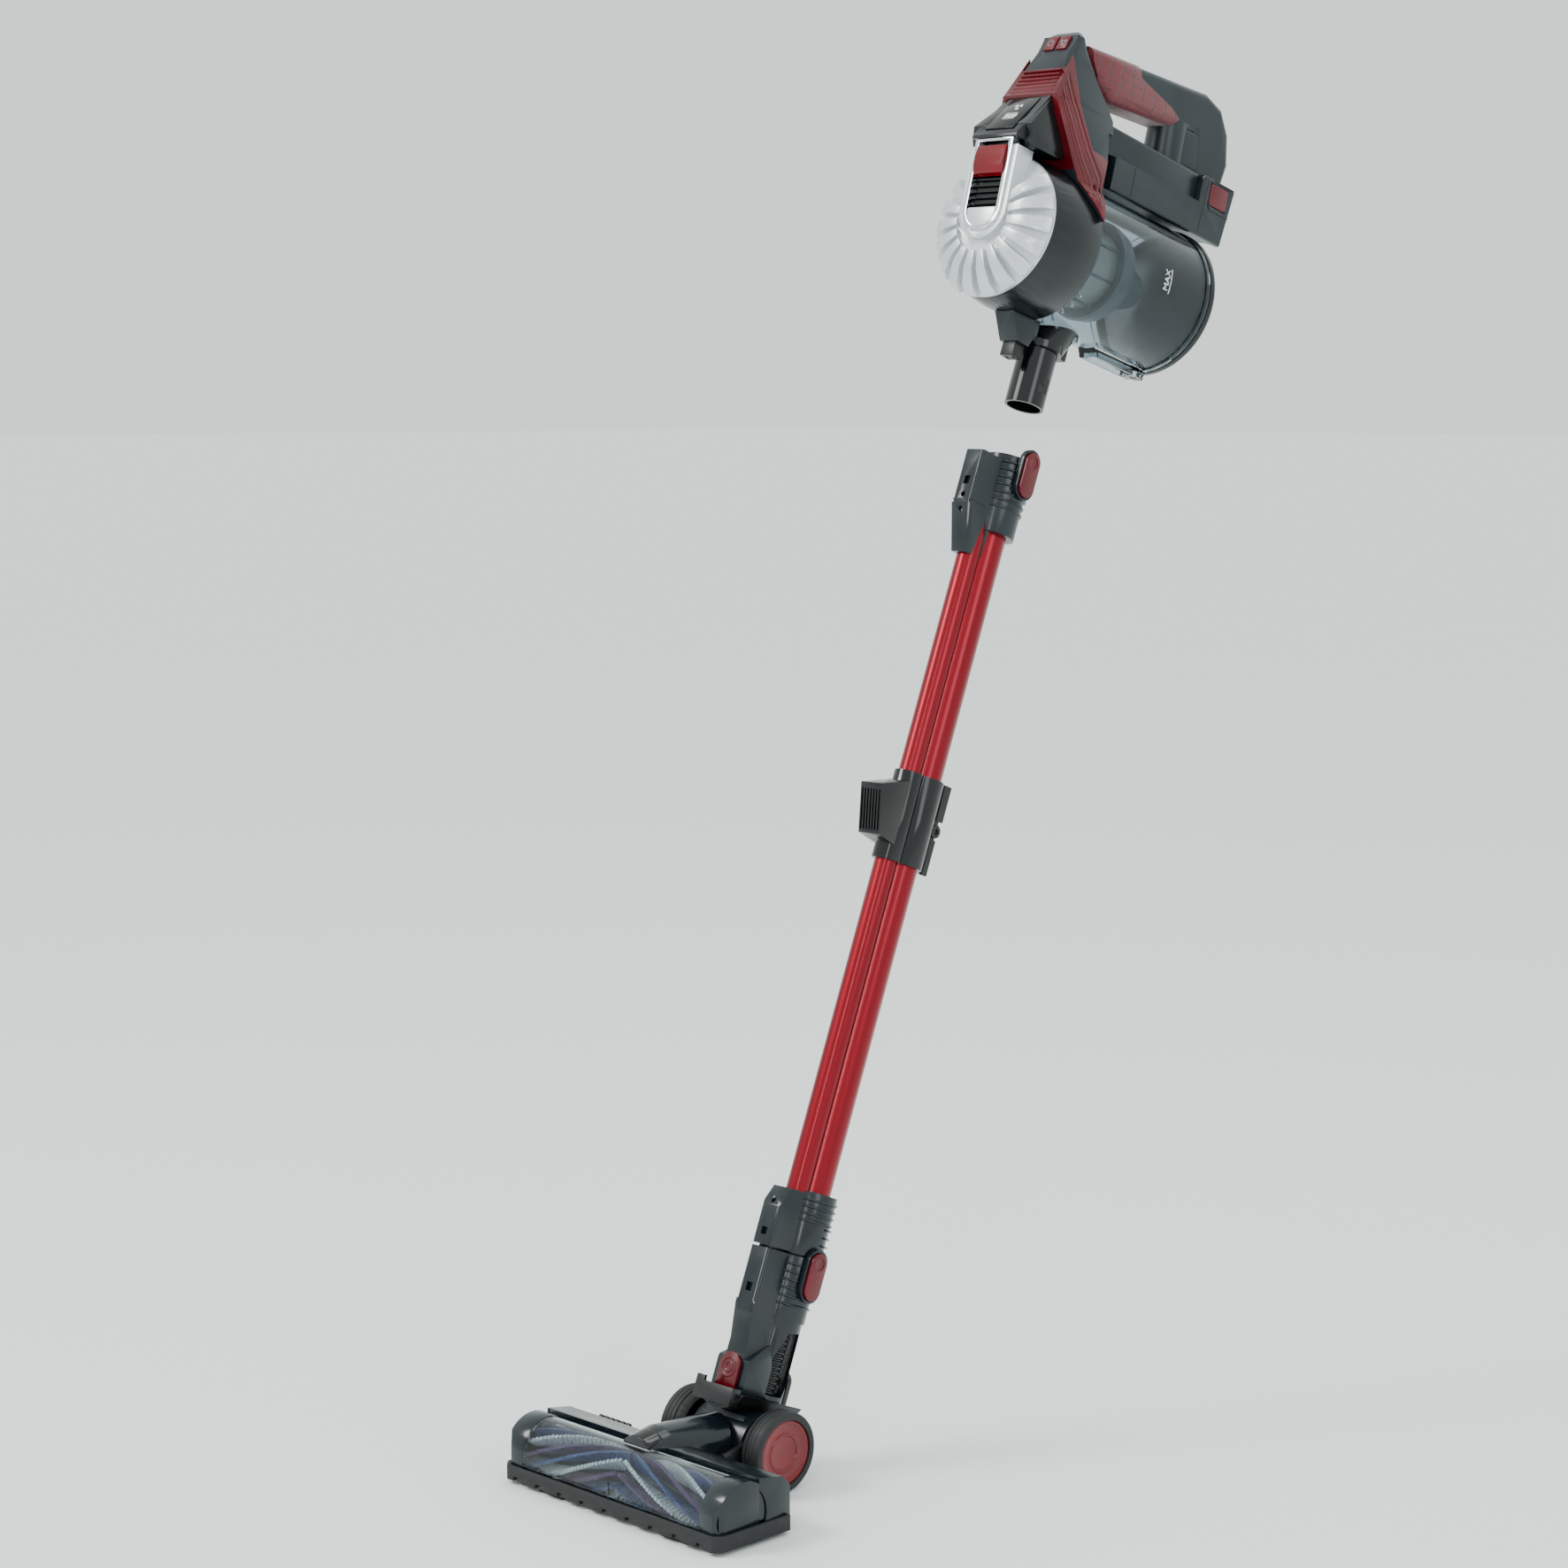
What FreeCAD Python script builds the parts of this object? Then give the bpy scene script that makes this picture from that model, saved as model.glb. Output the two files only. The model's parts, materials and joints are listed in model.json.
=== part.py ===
import FreeCAD, Part
import math
import os
from FreeCAD import Placement, Rotation, Vector as V

os.makedirs("parts", exist_ok=True)

# Cordless stick vacuum. Millimetres and degrees.
# Three working frames, each x to the right, y to the rear, z up along its own part:
#   head frame: on the floor below the wheel axle, z upright
#   wand frame: z along the wand, leaning back from the same floor point
#   hand frame: y along the barrel of the hand unit, z square to it
# The finished part's own frame is upright, with its origin at the middle of the handle grip.

# stance
lean = 21.66
hand_tilt = 5.5
lift = 47.4

# fits
gap = 0.35
pin_clearance = 0.05
wall = 2.2

# wand
wand_bottom = 180.0
wand_top = 852.0
tube_r = 14.4
tube_wall = 1.4
lobe_r = 9.5
lobe_offset = 18.0
spigot_r = 16.5
spigot_wall = 2.2
spigot_length = 49.0
socket_r = 20.5
block_front = 43.0
block_half_width = 10.0
plug_half_width = 7.0
plug_depth = 12.0
plug_middle = 31.0
button_r = 8.5
button_throw = 1.8
holder_height = 539.0
holder_length = 74.0

# hand unit
barrel_length = 55.0
barrel_front = -85.0
spigot_drop = 132.1
bin_r = 62.0
barrel_r = bin_r + 1
bin_length = 150.0
bin_wall = 2.0
lid_r = bin_r + 2
lid_thickness = 12.0
cyclone_r = 35.0
cover_r = barrel_r - 3
cover_depth = 17.0
blade_count = 14
arm_half_width = 25.0
arm_floor = bin_r + 28
arm_top = arm_floor + 25
arch_top = arm_top + 63
handle_half_width = 16.0
handle_height = 38.0
battery_half_width = 30.0
battery_floor = bin_r - 0.5
battery_length = 158.0

# floor head
wheel_r = 32.0
wheel_width = 21.6
wheel_outer = 55.6
axle_r = 4.0
head_half_width = 120.0
head_front = -135.0
head_rear = -60.0
head_height = 47.0
roller_y = -108.0
roller_z = 23.5
bristle_r = 21.9
window_r = 26.8
pivot_height = 80.0
barrel_hub_r = 24.5


# ---- shape helpers ----

def box(x, y, z):
    low, high = zip(x, y, z)
    size = [b - a for a, b in zip(low, high)]
    return Part.makeBox(size[0], size[1], size[2], V(*low))


def cyl(r, start, end):
    start, end = V(*start), V(*end)
    return Part.makeCylinder(r, (end - start).Length, start, end - start)


def ring(outer, inner, start, end):
    return cyl(outer, start, end).cut(cyl(inner, start, end))


def face(points):
    return Part.Face(Part.makePolygon([V(*p) for p in points] + [V(*points[0])]))


def side_prism(points, x):
    """Outline in y, z pushed across from x[0] to x[1]."""
    return face([(x[0], y, z) for y, z in points]).extrude(V(x[1] - x[0], 0, 0))


def front_prism(points, y):
    """Outline in x, z pushed rearward from y[0] to y[1]."""
    return face([(x, y[0], z) for x, z in points]).extrude(V(0, y[1] - y[0], 0))


def plan_prism(points, z):
    """Outline in x, y pushed up from z[0] to z[1]."""
    return face([(x, y, z[0]) for x, y in points]).extrude(V(0, 0, z[1] - z[0]))


def mirrored(points):
    """An outline's right half, given from top to bottom, closed with its mirror image."""
    return points + [(-x, z) for x, z in reversed(points)]


def stadium(r, y, z_low, z_high, x):
    """Upright rounded slot of half-width r about y, from x[0] to x[1]."""
    body = box(x, (y - r, y + r), (z_low + r, z_high - r))
    for z in (z_low + r, z_high - r):
        body = body.fuse(cyl(r, (x[0], y, z), (x[1], y, z)))
    return body.removeSplitter()


def turned(points):
    """Outline in radius, y spun about the hand frame's y axis."""
    return face([(r, y, 0) for r, y in points]).revolve(V(0, 0, 0), V(0, 1, 0), 360)


def rounded(shape, r, wanted):
    """Fillets the straight edges that wanted(edge middle, edge direction) picks."""
    chosen = []
    for edge in shape.Edges:
        if edge.Curve.TypeId != "Part::GeomLine":
            continue
        middle = edge.valueAt((edge.FirstParameter + edge.LastParameter) / 2)
        if wanted(middle, edge.Curve.Direction):
            chosen.append(edge)
    return shape.makeFillet(r, chosen)


def on_flank(half_width):
    return lambda middle, direction: abs(abs(middle.x) - half_width) < 0.01 and abs(direction.x) < 0.01


def along_z(middle, direction):
    return abs(direction.z) > 0.999


def fused(shapes):
    return shapes[0].multiFuse(shapes[1:]).removeSplitter()


nodes = {}


def add(name, shape, frame):
    nodes[name] = (shape, frame)


# ---- frames ----

head_frame = Placement()
wand_frame = Placement(V(0, 0, 0), Rotation(V(1, 0, 0), -lean))
barrel_height = wand_top + lift + spigot_drop
hand_frame = wand_frame.multiply(Placement(V(0, 0, barrel_height), Rotation(V(1, 0, 0), hand_tilt)))
grip_middle = V(0, 45, 160)
origin = hand_frame.multVec(grip_middle)

shoulder = wand_top + lift + spigot_length
barrel_rear = barrel_front + barrel_length


# ---- couplings shared by the hand unit, the wand and the neck ----

def figure_eight(main, lobe, z):
    """The tube's two-lobed section: a round main lobe with a smaller cable lobe in front."""
    web = box((-lobe * 0.8, lobe * 0.8), (-lobe_offset, 0), z)
    return fused([cyl(main, (0, 0, z[0]), (0, 0, z[1])), cyl(lobe, (0, -lobe_offset, z[0]), (0, -lobe_offset, z[1])), web])


def contact_block(z, top_chamfer, bottom_chamfer):
    """Box on the coupling's front that carries the contacts, with a square window and a screw hole."""
    outline = [(-socket_r + 6, z[0]), (-block_front + bottom_chamfer, z[0]), (-block_front, z[0] + 2 * bottom_chamfer),
               (-block_front, z[1] - 2 * top_chamfer), (-block_front + top_chamfer, z[1]), (-socket_r + 6, z[1])]
    outline = [p for i, p in enumerate(outline) if p != outline[i - 1]]
    block = side_prism(outline, (-block_half_width, block_half_width))
    return rounded(block, 2.5, lambda m, d: abs(d.x) < 0.01 and m.y < -block_front + 2.6 and abs(m.x) > 1)


def rear_fins(z_low, count):
    fins = [ring(socket_r + 2, socket_r - 1, (0, 0, z_low + 6.5 * i), (0, 0, z_low + 6.5 * i + 1.4)) for i in range(count)]
    return fused(fins).common(box((-30, 30), (4, 30), (z_low - 1, z_low + 6.5 * count)))


def socket(z_top, z_low, block_drop, fin_count):
    """Female coupling: a bore for the spigot, a contact block in front and a button ear on the right."""
    barrel = cyl(socket_r, (0, 0, z_low), (0, 0, z_top))
    block = contact_block((z_top - spigot_length - 3, z_top - block_drop), 0, 0)
    ear_z = (z_top - 34, z_top + 9)
    ear = stadium(button_r + 2.5, 0, ear_z[0], ear_z[1], (socket_r + 0.6, socket_r + 4.6))
    web = box((socket_r - 5, socket_r + 0.7), (-button_r, button_r), (z_top - 30, z_top))
    fins = rear_fins(z_top - 32, fin_count)
    body = fused([barrel, block, ear, web, fins])
    body = body.cut(cyl(spigot_r + gap, (0, 0, z_top - spigot_length - 1), (0, 0, z_top + 1)))
    plug_y = (-plug_middle - plug_depth / 2 - 0.6, -plug_middle + plug_depth / 2 + 0.6)
    plug_hole = box((-plug_half_width - 0.6, plug_half_width + 0.6), plug_y, (z_top - 26, z_top + 1))
    pocket = stadium(button_r + 0.5, 0, ear_z[0] + 2, ear_z[1] - 2, (socket_r + 1.6, socket_r + 5))
    window = box((-3, 3), (-block_front - 1, -block_front + 4), (z_top - 36, z_top - 29))
    screw_hole = cyl(2.2, (0, -block_front - 1, z_top - 45), (0, -block_front + 8, z_top - 45))
    return body.cut(plug_hole).cut(pocket).cut(window).cut(screw_hole)


def release_button(z_top):
    """Oval button in the socket's ear; it presses inwards."""
    x = (socket_r + 1.8 + button_throw, socket_r + 5.2 + button_throw)
    pad = stadium(button_r, 0, z_top - 31.5, z_top + 6.5, x)
    dimple = cyl(5, (x[1] - 0.6, 0, z_top - 2), (x[1] + 1, 0, z_top - 2))
    rim = ring(5.8, 5, (x[1] - 0.8, 0, z_top - 2), (x[1] + 0.4, 0, z_top - 2))
    return pad.fuse(rim).cut(dimple)


def electric_plug(z_top):
    """Rectangular plug that reaches down into the contact block."""
    y = (-plug_middle - plug_depth / 2, -plug_middle + plug_depth / 2)
    plug = box((-plug_half_width, plug_half_width), y, (z_top - 12, z_top))
    for x in (-3.5, 3.5):
        plug = plug.cut(box((x - 1.2, x + 1.2), (y[0] + 4, y[1] - 4), (z_top - 13, z_top - 4)))
    return plug


# ---- hand unit: barrel, motor and front cover ----

def motor_casing():
    inner = barrel_r - wall
    tapered = turned([(inner - 2, barrel_front), (barrel_r - 3, barrel_front), (barrel_r, barrel_front + 28),
                      (barrel_r, barrel_rear), (22, barrel_rear), (22, barrel_rear - 3), (inner, barrel_rear - 3),
                      (inner, barrel_front + 28)])
    return tapered


def suction_motor():
    can = cyl(34, (0, barrel_rear - 45, 0), (0, barrel_rear - 17, 0))
    nose = cyl(12, (0, barrel_rear - 52, 0), (0, barrel_rear - 44, 0))
    spider = [box((-inner_span(), inner_span()), (barrel_rear - 40, barrel_rear - 34), (-5, 5)),
              box((-5, 5), (barrel_rear - 40, barrel_rear - 34), (-inner_span(), inner_span()))]
    bore = cyl(2.5 + pin_clearance, (0, barrel_rear - 60, 0), (0, barrel_rear, 0))
    return fused([can, nose] + spider).cut(bore)


def inner_span():
    return barrel_r - wall - 1.5


def impeller():
    """Backplate, hub and curved blades on the motor shaft."""
    y = barrel_rear - 14
    hub = cyl(8, (0, y - 1, 0), (0, y + 9, 0))
    shaft = cyl(2.5, (0, y - 30, 0), (0, y + 9, 0))
    plate = cyl(30, (0, y - 1, 0), (0, y + 1, 0))
    blades = []
    for i in range(9):
        blade = box((6, 29.5), (y + 0.5, y + 8), (-0.6, 0.6))
        blade.rotate(V(0, 0, 0), V(0, 1, 0), i * 40)
        blades.append(blade)
    return fused([hub, shaft, plate] + blades)


bezel_half_width = 20.0
bezel_top = barrel_r + 5
housing_foot = bezel_top - 6.5
bezel_bottom = -12.0
bezel_front = barrel_front - 25.0


def bezel_outline(grow, y):
    """Bezel outline: flat top, half-round bottom."""
    r = bezel_half_width + grow
    z = bezel_bottom + bezel_half_width
    return box((-r, r), y, (z, bezel_top + grow)).fuse(cyl(r, (0, y[0], z), (0, y[1], z)))


def front_cover():
    """Shallow dome with tapered blades round its lower three quarters and a raised seat for the bezel."""
    y = barrel_front - 0.3
    tip = y - cover_depth
    outer = [(0, y), (cover_r, y), (cover_r - 0.8, y - 3.5), (cover_r - 10, y - 7), (cover_r - 22, y - 12),
             (cover_r - 29, tip), (0, tip)]
    inner = [(0, y), (cover_r - 3, y), (cover_r - 12, y - 4.5), (cover_r - 23, y - 9), (cover_r - 30, tip + 2.5), (0, tip + 2.5)]
    envelope = turned([(cover_r - 33, tip - 4.5), (cover_r - 18, tip - 2.5), (cover_r - 5, y - 13), (cover_r + 1.5, y - 5),
                       (cover_r, y - 1.5), (cover_r - 33, y - 1.5)])
    pitch = 270 / blade_count
    near, far = cover_r - 34, cover_r + 4
    slope = math.tan(math.radians(pitch * 0.31))
    shapes = [turned(outer)]
    for i in range(blade_count):
        wedge = front_prism([(-near * slope, -near), (near * slope, -near), (far * slope, -far), (-far * slope, -far)],
                            (tip - 10, y))
        wedge.rotate(V(0, 0, 0), V(0, 1, 0), (i - (blade_count - 1) / 2) * pitch)
        shapes.append(wedge.common(envelope))
    shapes.append(bezel_outline(5, (tip - 5.5, y - 3)))
    cover = fused(shapes).cut(turned(inner))
    cover = cover.cut(bezel_outline(0, (tip - 12, tip + 1.2)))
    top = box((-35, 35), (tip - 20, y + 1), (housing_foot - 0.7, bezel_top + 22))
    return cover.cut(top)


def chrome_bezel():
    y = (bezel_front, barrel_front - 0.3 - cover_depth + 1.2)
    shell = bezel_outline(0, y)
    hole = bezel_outline(-4, (y[0] - 1, y[0] + 9))
    plate_cut = box((-bezel_half_width + 4, bezel_half_width - 4), (y[0] - 1, y[0] + 4.5), (-20, bezel_top - 3))
    shell = shell.cut(hole.common(box((-30, 30), (y[0] - 1, y[0] + 9), (9, bezel_top - 3))))
    shell = shell.cut(hole.common(plate_cut))
    shell = shell.cut(box((-7, 7), (y[0] - 1, y[0] + 2.5), (bezel_bottom - 1, bezel_bottom + 2.4)))
    return shell.cut(box((-30, 30), (y[0] - 1, y[1] + 1), (bezel_top - 1.5, bezel_top + 30)))


def cover_latch():
    """Curved red slide at the top of the bezel's recess."""
    x = (-bezel_half_width + 4.6, bezel_half_width - 4.6)
    y = bezel_front
    outline = [(y - 1.5, 60), (y - 3.2, 52), (y - 3.2, 44), (y - 1.5, 37), (y + 3.8, 35), (y + 3.8, 60)]
    pad = side_prism(outline, x)
    return rounded(pad, 1, lambda m, d: on_flank(x[1])(m, d) and m.y < y - 1.4)


# ---- hand unit: arch, display, arm and handle ----

arch_outline = [(-2, 104), (-2, 116), (-13, 128), (-40, 164), (-44, 175), (-49, arch_top), (-55, 173), (-61, 158),
                (-78, 114), (-57, 56), (-46, 37), (-31, 19), (-17, 60), (-11, 80), (-8, 104)]
band_outline = [(-62.5, 152), (-57, 140), (-33, 81), (-12, 79), (-18, 60), (-31, 19), (-46, 37), (-57, 56),
                (-80, 114), (-78, 118)]
shoulder_outline = mirrored([(15, arch_top + 3), (19, arch_top - 6), (23, 150), (27, arm_top), (45, 52), (45, -10)])


def arch_skin(grow):
    """Everything inside the arch's outer surface, before its side outline trims it."""
    grown = [(x + grow if x > 0 else x - grow, z) for x, z in shoulder_outline]
    flanks = front_prism(grown, (-95, 5))
    return flanks.fuse(cyl(barrel_r + 3 + grow, (0, -95, 0), (0, 5, 0)))


def arch_solid():
    body = side_prism(arch_outline, (-80, 80)).common(arch_skin(0))
    body = body.cut(cyl(barrel_r + gap / 2, (0, -120, 0), (0, 40, 0)))
    hollow = side_prism([(-8, 92), (-20, 130), (-44, 162), (-52, 160), (-70, 112), (-62, 80), (-20, 80)], (-20, 20))
    return body.cut(hollow)


def arch_half(side):
    """One moulded half of the arch, left or right of the middle plane."""
    x = (0, 90) if side > 0 else (-90, 0)
    half = arch_body.common(box(x, (-100, 20), (0, 200)))
    for pocket in button_pockets():
        half = half.cut(pocket)
    return half


def grip_band():
    """Raised ribbed band over the arch's front and down both flanks."""
    skin = side_prism(band_outline, (-90, 90)).common(arch_skin(1.2))
    return skin.cut(arch_skin(0).common(side_prism(arch_outline, (-90, 90)))).cut(below_barrel())


def below_barrel():
    return cyl(barrel_r + gap / 2, (0, -120, 0), (0, 40, 0))


button_face = (V(0, -55, 173), V(0, -61, 158))


def button_pockets():
    return [press_button_block(side, 0.4, -4.5, 0.8) for side in (-1, 1)]


def press_button_block(side, grow, low, high):
    """One of the two press buttons side by side on the arch's upper front slope, or its pocket."""
    top, bottom = button_face
    along = (bottom - top).normalize()
    out = V(0, along.z, -along.y)
    if out.y > 0:
        out = out * -1
    middle = (top + bottom) * 0.5 + V(side * 6.6, 0, 0)
    block = Part.makeBox(11 + 2 * grow, 14 + 2 * grow, high - low)
    block = rounded(block, 1.5, along_z)
    block.translate(V(-5.5 - grow, -7 - grow, low))
    block.Placement = Placement(middle, Rotation(V(1, 0, 0), -along, out, "ZYX")).multiply(block.Placement)
    return block


def display_housing():
    """Dark sloping housing between the arch and the front cover, hollow for the display."""
    outline = [(-78, arm_top - 1), (bezel_front - 1, bezel_top + 1.5), (bezel_front - 1, bezel_top - 1.1),
               (barrel_front - 1, bezel_top - 1.1), (barrel_front - 1, housing_foot), (-72, housing_foot), (-66, bezel_top + 16)]
    body = side_prism(outline, (-24, 24))
    flare = side_prism([(-77, arm_top - 3), (-104, bezel_top + 12), (-96, housing_foot), (-66, housing_foot), (-60, bezel_top - 2)],
                       (-34, 34))
    flare = flare.common(front_prism(mirrored([(23, 120), (26, 100), (34, 70), (34, 40)]), (-130, 0)))
    body = body.fuse(flare).removeSplitter()
    body = body.cut(arch_skin(0).common(side_prism(arch_outline, (-90, 90))))
    body = body.cut(band_space()).cut(cyl(barrel_r + gap / 2, (0, -120, 0), (0, 40, 0)))
    return body.cut(display_block(0.15))


def band_space():
    return side_prism(band_outline, (-90, 90)).common(arch_skin(1.2 + gap / 2))


def display_block(grow):
    top, foot = V(0, -78, arm_top - 1), V(0, bezel_front - 1, bezel_top + 1.5)
    along = (foot - top).normalize()
    out = V(0, along.z, -along.y)
    corners = [top + along * (6 - grow) + out * 1, foot - along * (7 - grow) + out * 1,
               foot - along * (7 - grow) - out * (3 + grow), top + along * (6 - grow) - out * (3 + grow)]
    return side_prism([(c.y, c.z) for c in corners], (-15 - grow, 15 + grow))


def lower_arm():
    """Arm from the arch back under the handle; the battery slides along its underside."""
    body = box((-arm_half_width, arm_half_width), (-2, 122), (arm_floor, arm_top))
    body = rounded(body, 4, lambda m, d: abs(d.y) > 0.99 and m.z > arm_top - 1)
    rail = box((-12, 12), (20, 110), (arm_floor - 2.5, arm_floor))
    hollow = box((-arm_half_width + 3, arm_half_width - 3), (2, 118), (arm_floor + 3, arm_top - 4))
    return body.fuse(rail).removeSplitter().cut(hollow)


handle_slope = math.tan(math.radians(6))


def handle_top(y):
    return arm_top + 59.5 + y * handle_slope


def handle_low(y):
    return handle_top(y) - handle_height


def handle_shell():
    """Handle bar that bends down into the rear column, and the round boss under the bar's rear end."""
    outline = [(-34, handle_top(-34)), (126, handle_top(126)), (149, handle_top(126) - 6), (164, arm_top + 48),
               (171, arm_top + 22), (167, arm_top + 0.6), (124, arm_top + 0.6), (117, handle_low(117)),
               (4, handle_low(4)), (-16, handle_low(-16) + 10)]
    bar = side_prism(outline, (-handle_half_width, handle_half_width))
    bar = rounded(bar, 7, lambda m, d: on_flank(handle_half_width)(m, d) and m.z > arm_top + 2)
    boss = cyl(17, (0, 98, arm_top + 0.3), (0, 98, handle_low(98) + 6))
    foot = box((-15, 15), (98, 126), (arm_top + 0.6, arm_top + 12))
    body = fused([bar, boss, foot]).cut(side_prism(arch_outline, (-90, 90)))
    return body.cut(box((-8, 8), (8, 140), (handle_top(70) - 26, handle_top(70) - 14)))


def grip_cover():
    """Soft sleeve over the handle bar, longer below than on top."""
    grow = 1.2
    low = handle_low
    bar = side_prism([(-40, handle_top(-40) + grow), (110, handle_top(110) + grow), (110, low(110) - grow),
                      (4, low(4) - grow), (-14, low(-14) + 8)], (-handle_half_width - grow, handle_half_width + grow))
    bar = rounded(bar, 8, lambda m, d: abs(abs(m.x) - handle_half_width - grow) < 0.01 and abs(d.y) > 0.9)
    region = [(-38, 190), (26, 190), (34, handle_top(34) - 10), (78, handle_top(78) - 24), (92, low(92) + 6),
              (79, low(79) - 6), (-20, 125)]
    sleeve = bar.common(side_prism(region, (-40, 40)))
    return sleeve.cut(handle_body).cut(side_prism(arch_outline, (-90, 90)))


def control_board():
    board = box((-15, 15), (-60, -58.4), (88, 128))
    for z in (94, 104, 114):
        board = board.fuse(box((-9, 9), (-58.4, -53), (z, z + 5)))
    return board.removeSplitter()


# ---- hand unit: battery ----

battery_front = 8.0
cell_r = 8.6


def battery_outline(inset):
    rear = battery_front + battery_length
    return [(battery_front + inset, battery_floor + inset), (rear - 4 - inset, battery_floor + inset),
            (rear + 3 - inset, arm_top - 2 - inset), (126 + inset, arm_top - 0.5 - inset), (122.6 + inset, arm_top - 4 - inset),
            (122.6 + inset, arm_floor - 0.4 - inset), (battery_front + inset, arm_floor - 0.4 - inset)]


def battery_case():
    body = side_prism(battery_outline(0), (-battery_half_width, battery_half_width))
    body = rounded(body, 2.5, lambda m, d: on_flank(battery_half_width)(m, d) and abs(m.y - 122.6) > 1 and abs(m.z - arm_floor) > 1.5)
    groove = box((-12.5, 12.5), (battery_front - 1, 112), (arm_floor - 3, arm_floor))
    cavity = box((-28, 28), (battery_front + 2.2, 147), (battery_floor + 6.5, arm_floor - 3.2))
    body = body.cut(groove).cut(cavity).cut(cyl(lid_r + 2.5, (0, -10, 0), (0, 200, 0)))
    for side in (-1, 1):
        inner, outer = side * (battery_half_width - 4.5), side * (battery_half_width + 1)
        body = body.cut(box(sorted((inner, outer)), (battery_front + battery_length - 31.5, battery_front + battery_length - 6.5), (arm_floor + 0.5, arm_floor + 20.5)))
    return body


def battery_button(side):
    inner, outer = side * (battery_half_width - 2.2), side * (battery_half_width + 0.8)
    rear = battery_front + battery_length - 7
    pad = box(sorted((inner, outer)), (rear - 24, rear), (arm_floor + 1, arm_floor + 20))
    return rounded(pad, 2.5, lambda m, d: abs(d.x) > 0.99)


def battery_cells():
    """Six round cells, three abreast in two rows, joined by contact straps."""
    cells = []
    middle = battery_floor + 15.7
    for x in (-18.6, 0, 18.6):
        for y in (12.5, 79.5):
            cells.append(cyl(cell_r, (x, y, middle), (x, y + 65, middle)))
    straps = [box((-20, 20), (y, y + 2), (middle - 2, middle + 2)) for y in (10.5, 77.5, 144.5)]
    return fused(cells + straps)


# ---- hand unit: bin, cyclone and lid ----

bin_front = barrel_rear + 0.5
bin_rear = bin_front + bin_length
inlet_y = 8.0
inlet_depth = 5.0


def bin_shell():
    body = ring(bin_r, bin_r - bin_wall, (0, bin_front, 0), (0, bin_rear, 0))
    inlet = box((-15, 15), (inlet_y - 16, inlet_y + 16), (-bin_r - inlet_depth, -bin_r + 6))
    inlet = rounded(inlet, 5, along_z)
    rim = ring(bin_r + 1.2, bin_r - bin_wall, (0, bin_rear - 5, 0), (0, bin_rear, 0))
    foot = side_prism([(48, -bin_r + 4), (54, -bin_r - 7), (bin_rear - 0.6, -bin_r - 7), (bin_rear - 0.6, -bin_r + 4)], (-9, 9))
    body = fused([body, inlet, rim, foot])
    air = box((-12, 12), (inlet_y - 13, inlet_y + 13), (-bin_r - inlet_depth - 1, -bin_r + 8))
    pocket = box((-6.5, 6.5), (58, bin_rear - 14), (-bin_r - 8, -bin_r - 1.5))
    knuckle_slot = box((-4.4, 4.4), (bin_rear - 7, bin_rear + 1), (-bin_r - 8, -bin_r - 1.2))
    pin_hole = cyl(hinge_pin_r + pin_clearance, (-10, lid_hinge[0], lid_hinge[1]), (10, lid_hinge[0], lid_hinge[1]))
    return body.cut(air).cut(pocket).cut(knuckle_slot).cut(pin_hole).cut(cyl(bin_r - bin_wall, (0, bin_front, 0), (0, bin_rear, 0)))


def cyclone_body():
    """Inlet plate, pleated core, flange ring and tapering shroud round the dust separator."""
    plate = ring(bin_r - bin_wall - gap, 24, (0, bin_front + 0.5, 0), (0, bin_front + 4, 0))
    core = turned([(22, bin_front + 3), (cyclone_r - 3, bin_front + 3), (cyclone_r - 3, 28), (42, 28), (43.5, 31), (41, 44),
                   (34, 46), (30, 50), (16, 88), (13.5, 88), (26, 52), (26, 40), (22, 34)])
    ribs = []
    for i in range(8):
        rib = box((cyclone_r - 4, cyclone_r + 1.2), (bin_front + 3, 30), (-1.2, 1.2))
        rib.rotate(V(0, 0, 0), V(0, 1, 0), 22.5 + i * 45)
        ribs.append(rib)
    return fused([plate, core] + ribs)


def cyclone_mesh():
    mesh = ring(cyclone_r, cyclone_r - 2.8, (0, bin_front + 4.2, 0), (0, 27.8, 0))
    for i in range(8):
        rib = box((cyclone_r - 5, cyclone_r + 2), (bin_front, 30), (-1.3, 1.3))
        rib.rotate(V(0, 0, 0), V(0, 1, 0), 22.5 + i * 45)
        mesh = mesh.cut(rib)
    return mesh


lid_hinge = (bin_rear - 2.5, -bin_r - 4.2)
hinge_pin_r = 1.5
hook_half_width = 3.0
catch_travel = 6.6


def bin_lid():
    """Shallow dished lid with its knuckle and pin at the bottom and a catch notch at the top."""
    y = bin_rear + 0.4
    body = turned([(0, y), (lid_r, y), (lid_r, y + 5), (lid_r - 4, y + lid_thickness - 1.5), (lid_r - 14, y + lid_thickness),
                   (0, y + lid_thickness)])
    hollow = turned([(0, y - 1), (lid_r - 5, y - 1), (lid_r - 8, y + lid_thickness - 4.5), (0, y + lid_thickness - 4.5)])
    knuckle = box((-4, 4), (lid_hinge[0], y + 4), (lid_hinge[1] - 2.6, lid_hinge[1] + 0.4))
    knuckle = knuckle.fuse(cyl(2.6, (-4, lid_hinge[0], lid_hinge[1]), (4, lid_hinge[0], lid_hinge[1])))
    web = box((-4, 4), (y, y + 4), (lid_hinge[1] - 2.6, -lid_r + 2))
    pin = cyl(hinge_pin_r, (-7.5, lid_hinge[0], lid_hinge[1]), (7.5, lid_hinge[0], lid_hinge[1]))
    window = box((-hook_half_width - 0.4, hook_half_width + catch_travel + 0.6), (y - 1, y + 4.2), (bin_r - 1.2, lid_r + 1))
    tooth = box((-hook_half_width, hook_half_width), (y, y + 1.3), (bin_r - 2, bin_r + 1.2))
    return body.cut(hollow).cut(window).fuse([knuckle, web, pin, tooth]).removeSplitter()


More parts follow.
